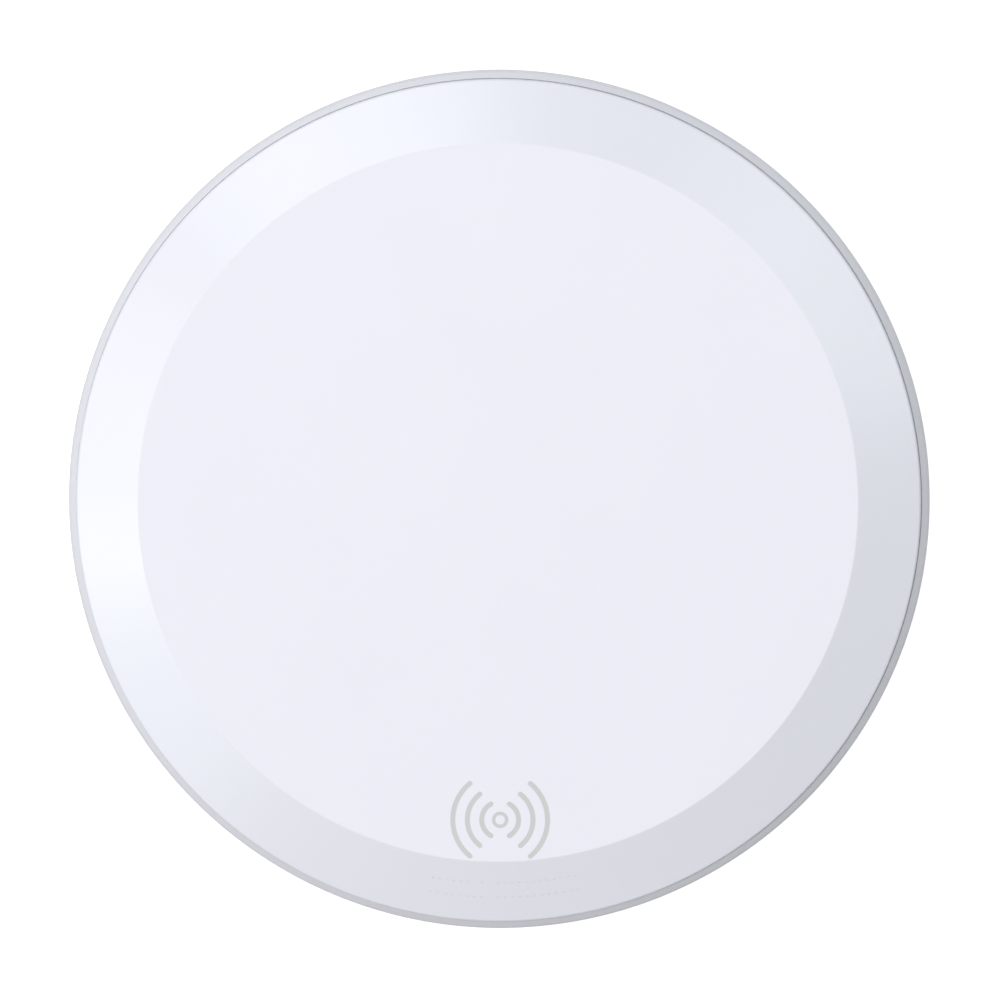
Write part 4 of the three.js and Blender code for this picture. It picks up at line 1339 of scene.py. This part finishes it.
# the angle where a group starts, and how many pairs of strokes it has
STROKE_GROUPS = [(260.7, 4), (270.5, 6)]
stroke_lines = [
    [on_circle(STROKE_HIGH, angle), on_circle(STROKE_LOW, angle)]
    for start, pairs in STROKE_GROUPS
    for pair in range(pairs)
    for angle in (start + PAIR_STEP * pair - PAIR_HALF, start + PAIR_STEP * pair + PAIR_HALF)
]
border_strokes = printed("border_strokes", stroke_lines, STROKE_WIDTH, pale_ink)
for piece in (mark_ring, waves, border_strokes):
    fit_piece(piece, "casing_white")

# ---- Studio ----
# A pale floor and a plain soft room: four panels round the pad, one above it, and a camera high over the pad
# that leans a little to the back and the right.
PICTURE_WIDTH = 116.1 * MM
CAMERA_DISTANCE = 1.0
LEAN_BACK, LEAN_RIGHT = 4.5, 1.5
AIM = Vector((0.15, 0.175, 5.7)) * MM
camera_data = bpy.data.cameras.new("camera")
camera_data.lens = camera_data.sensor_width * CAMERA_DISTANCE / PICTURE_WIDTH
camera = place("camera", camera_data)
away = Vector((math.tan(math.radians(LEAN_RIGHT)), math.tan(math.radians(LEAN_BACK)), 1)).normalized()
right = Vector((0, 1, 0)).cross(away).normalized()
camera.rotation_euler = Matrix((right, away.cross(right), away)).transposed().to_euler()
camera.location = AIM + away * CAMERA_DISTANCE
bpy.context.scene.camera = camera

FLOOR_HALF = 4.0
floor_mesh = bpy.data.meshes.new("floor")
floor_corners = [(x * FLOOR_HALF, y * FLOOR_HALF, 0) for x, y in ((-1, -1), (1, -1), (1, 1), (-1, 1))]
floor_mesh.from_pydata(floor_corners, [], [(0, 1, 2, 3)])
floor = place("floor", floor_mesh)
pale = bpy.data.materials.new("pale_floor")
pale.use_nodes = True
pale.cycles.emission_sampling = "NONE"
paint = pale.node_tree.nodes["Principled BSDF"]
FLOOR_PAINT = {"Base Color": (0.65, 0.65, 0.65, 1), "Roughness": 1.0, "Specular IOR Level": 0.0}
for socket, value in {**FLOOR_PAINT, "Emission Color": (1, 1, 1, 1)}.items():
    paint.inputs[socket].default_value = value
# The floor looks whiter than the light it gives back, as a lit white table does.
looked_at = add_node(pale.node_tree, "ShaderNodeLightPath")
glow = {"Value": looked_at.outputs["Is Camera Ray"], "To Min": 0.1, "To Max": 0.75}
whiteness = add_node(pale.node_tree, "ShaderNodeMapRange", glow)
pale.node_tree.links.new(whiteness.outputs[0], paint.inputs["Emission Strength"])
# Seen from below the floor is clear, so that the pad's underside can be looked at.
clear = add_node(pale.node_tree, "ShaderNodeBsdfTransparent")
side_seen = add_node(pale.node_tree, "ShaderNodeNewGeometry")
floor_sides = {0: side_seen.outputs["Backfacing"], 1: paint.outputs[0], 2: clear.outputs[0]}
both_sides = add_node(pale.node_tree, "ShaderNodeMixShader", floor_sides)
pale.node_tree.links.new(both_sides.outputs[0], pale.node_tree.nodes["Material Output"].inputs[0])
floor_mesh.materials.append(pale)

# name, angle round the pad, angle above the floor, distance, side, watts in red, green and blue
# The watts were solved for by least squares and then rounded. They were not set by hand.
PANELS = [
    ("right_panel", 30, 52, 1.3, 0.7, (2.75, 3.2, 3.1)),
    ("back_panel", 120, 52, 1.3, 0.7, (4.6, 4.8, 5.0)),
    ("left_panel", 180, 52, 1.3, 0.7, (4.6, 4.4, 4.2)),
    ("front_panel", 210, 52, 1.3, 0.7, (2.6, 2.95, 3.05)),
    ("top_panel", 0, 90, 1.6, 0.9, (4.9, 4.4, 4.65)),
]
for name, around, above, distance, side, watts in PANELS:
    lamp = bpy.data.lights.new(name, "AREA")
    lamp.shape, lamp.size, lamp.energy = "SQUARE", side, max(watts)
    lamp.color = [part / max(watts) for part in watts]
    panel = place(name, lamp)
    flat = math.cos(math.radians(above))
    reach = Vector((*[flat * part for part in on_circle(1, around)], math.sin(math.radians(above))))
    panel.location = reach * distance
    panel.rotation_euler = reach.to_track_quat("Z", "Y").to_euler()

world = bpy.data.worlds.new("room")
world.use_nodes = True
sky = world.node_tree
seen = add_node(sky, "ShaderNodeLightPath")
brightness = {"Value": seen.outputs["Is Camera Ray"], "To Min": 0.2, "To Max": 0.95}
strength = add_node(sky, "ShaderNodeMapRange", brightness)
sky.nodes["Background"].inputs["Color"].default_value = (1, 1, 1, 1)
sky.links.new(strength.outputs[0], sky.nodes["Background"].inputs["Strength"])
bpy.context.scene.world = world
bpy.context.scene.view_settings.view_transform = "Standard"
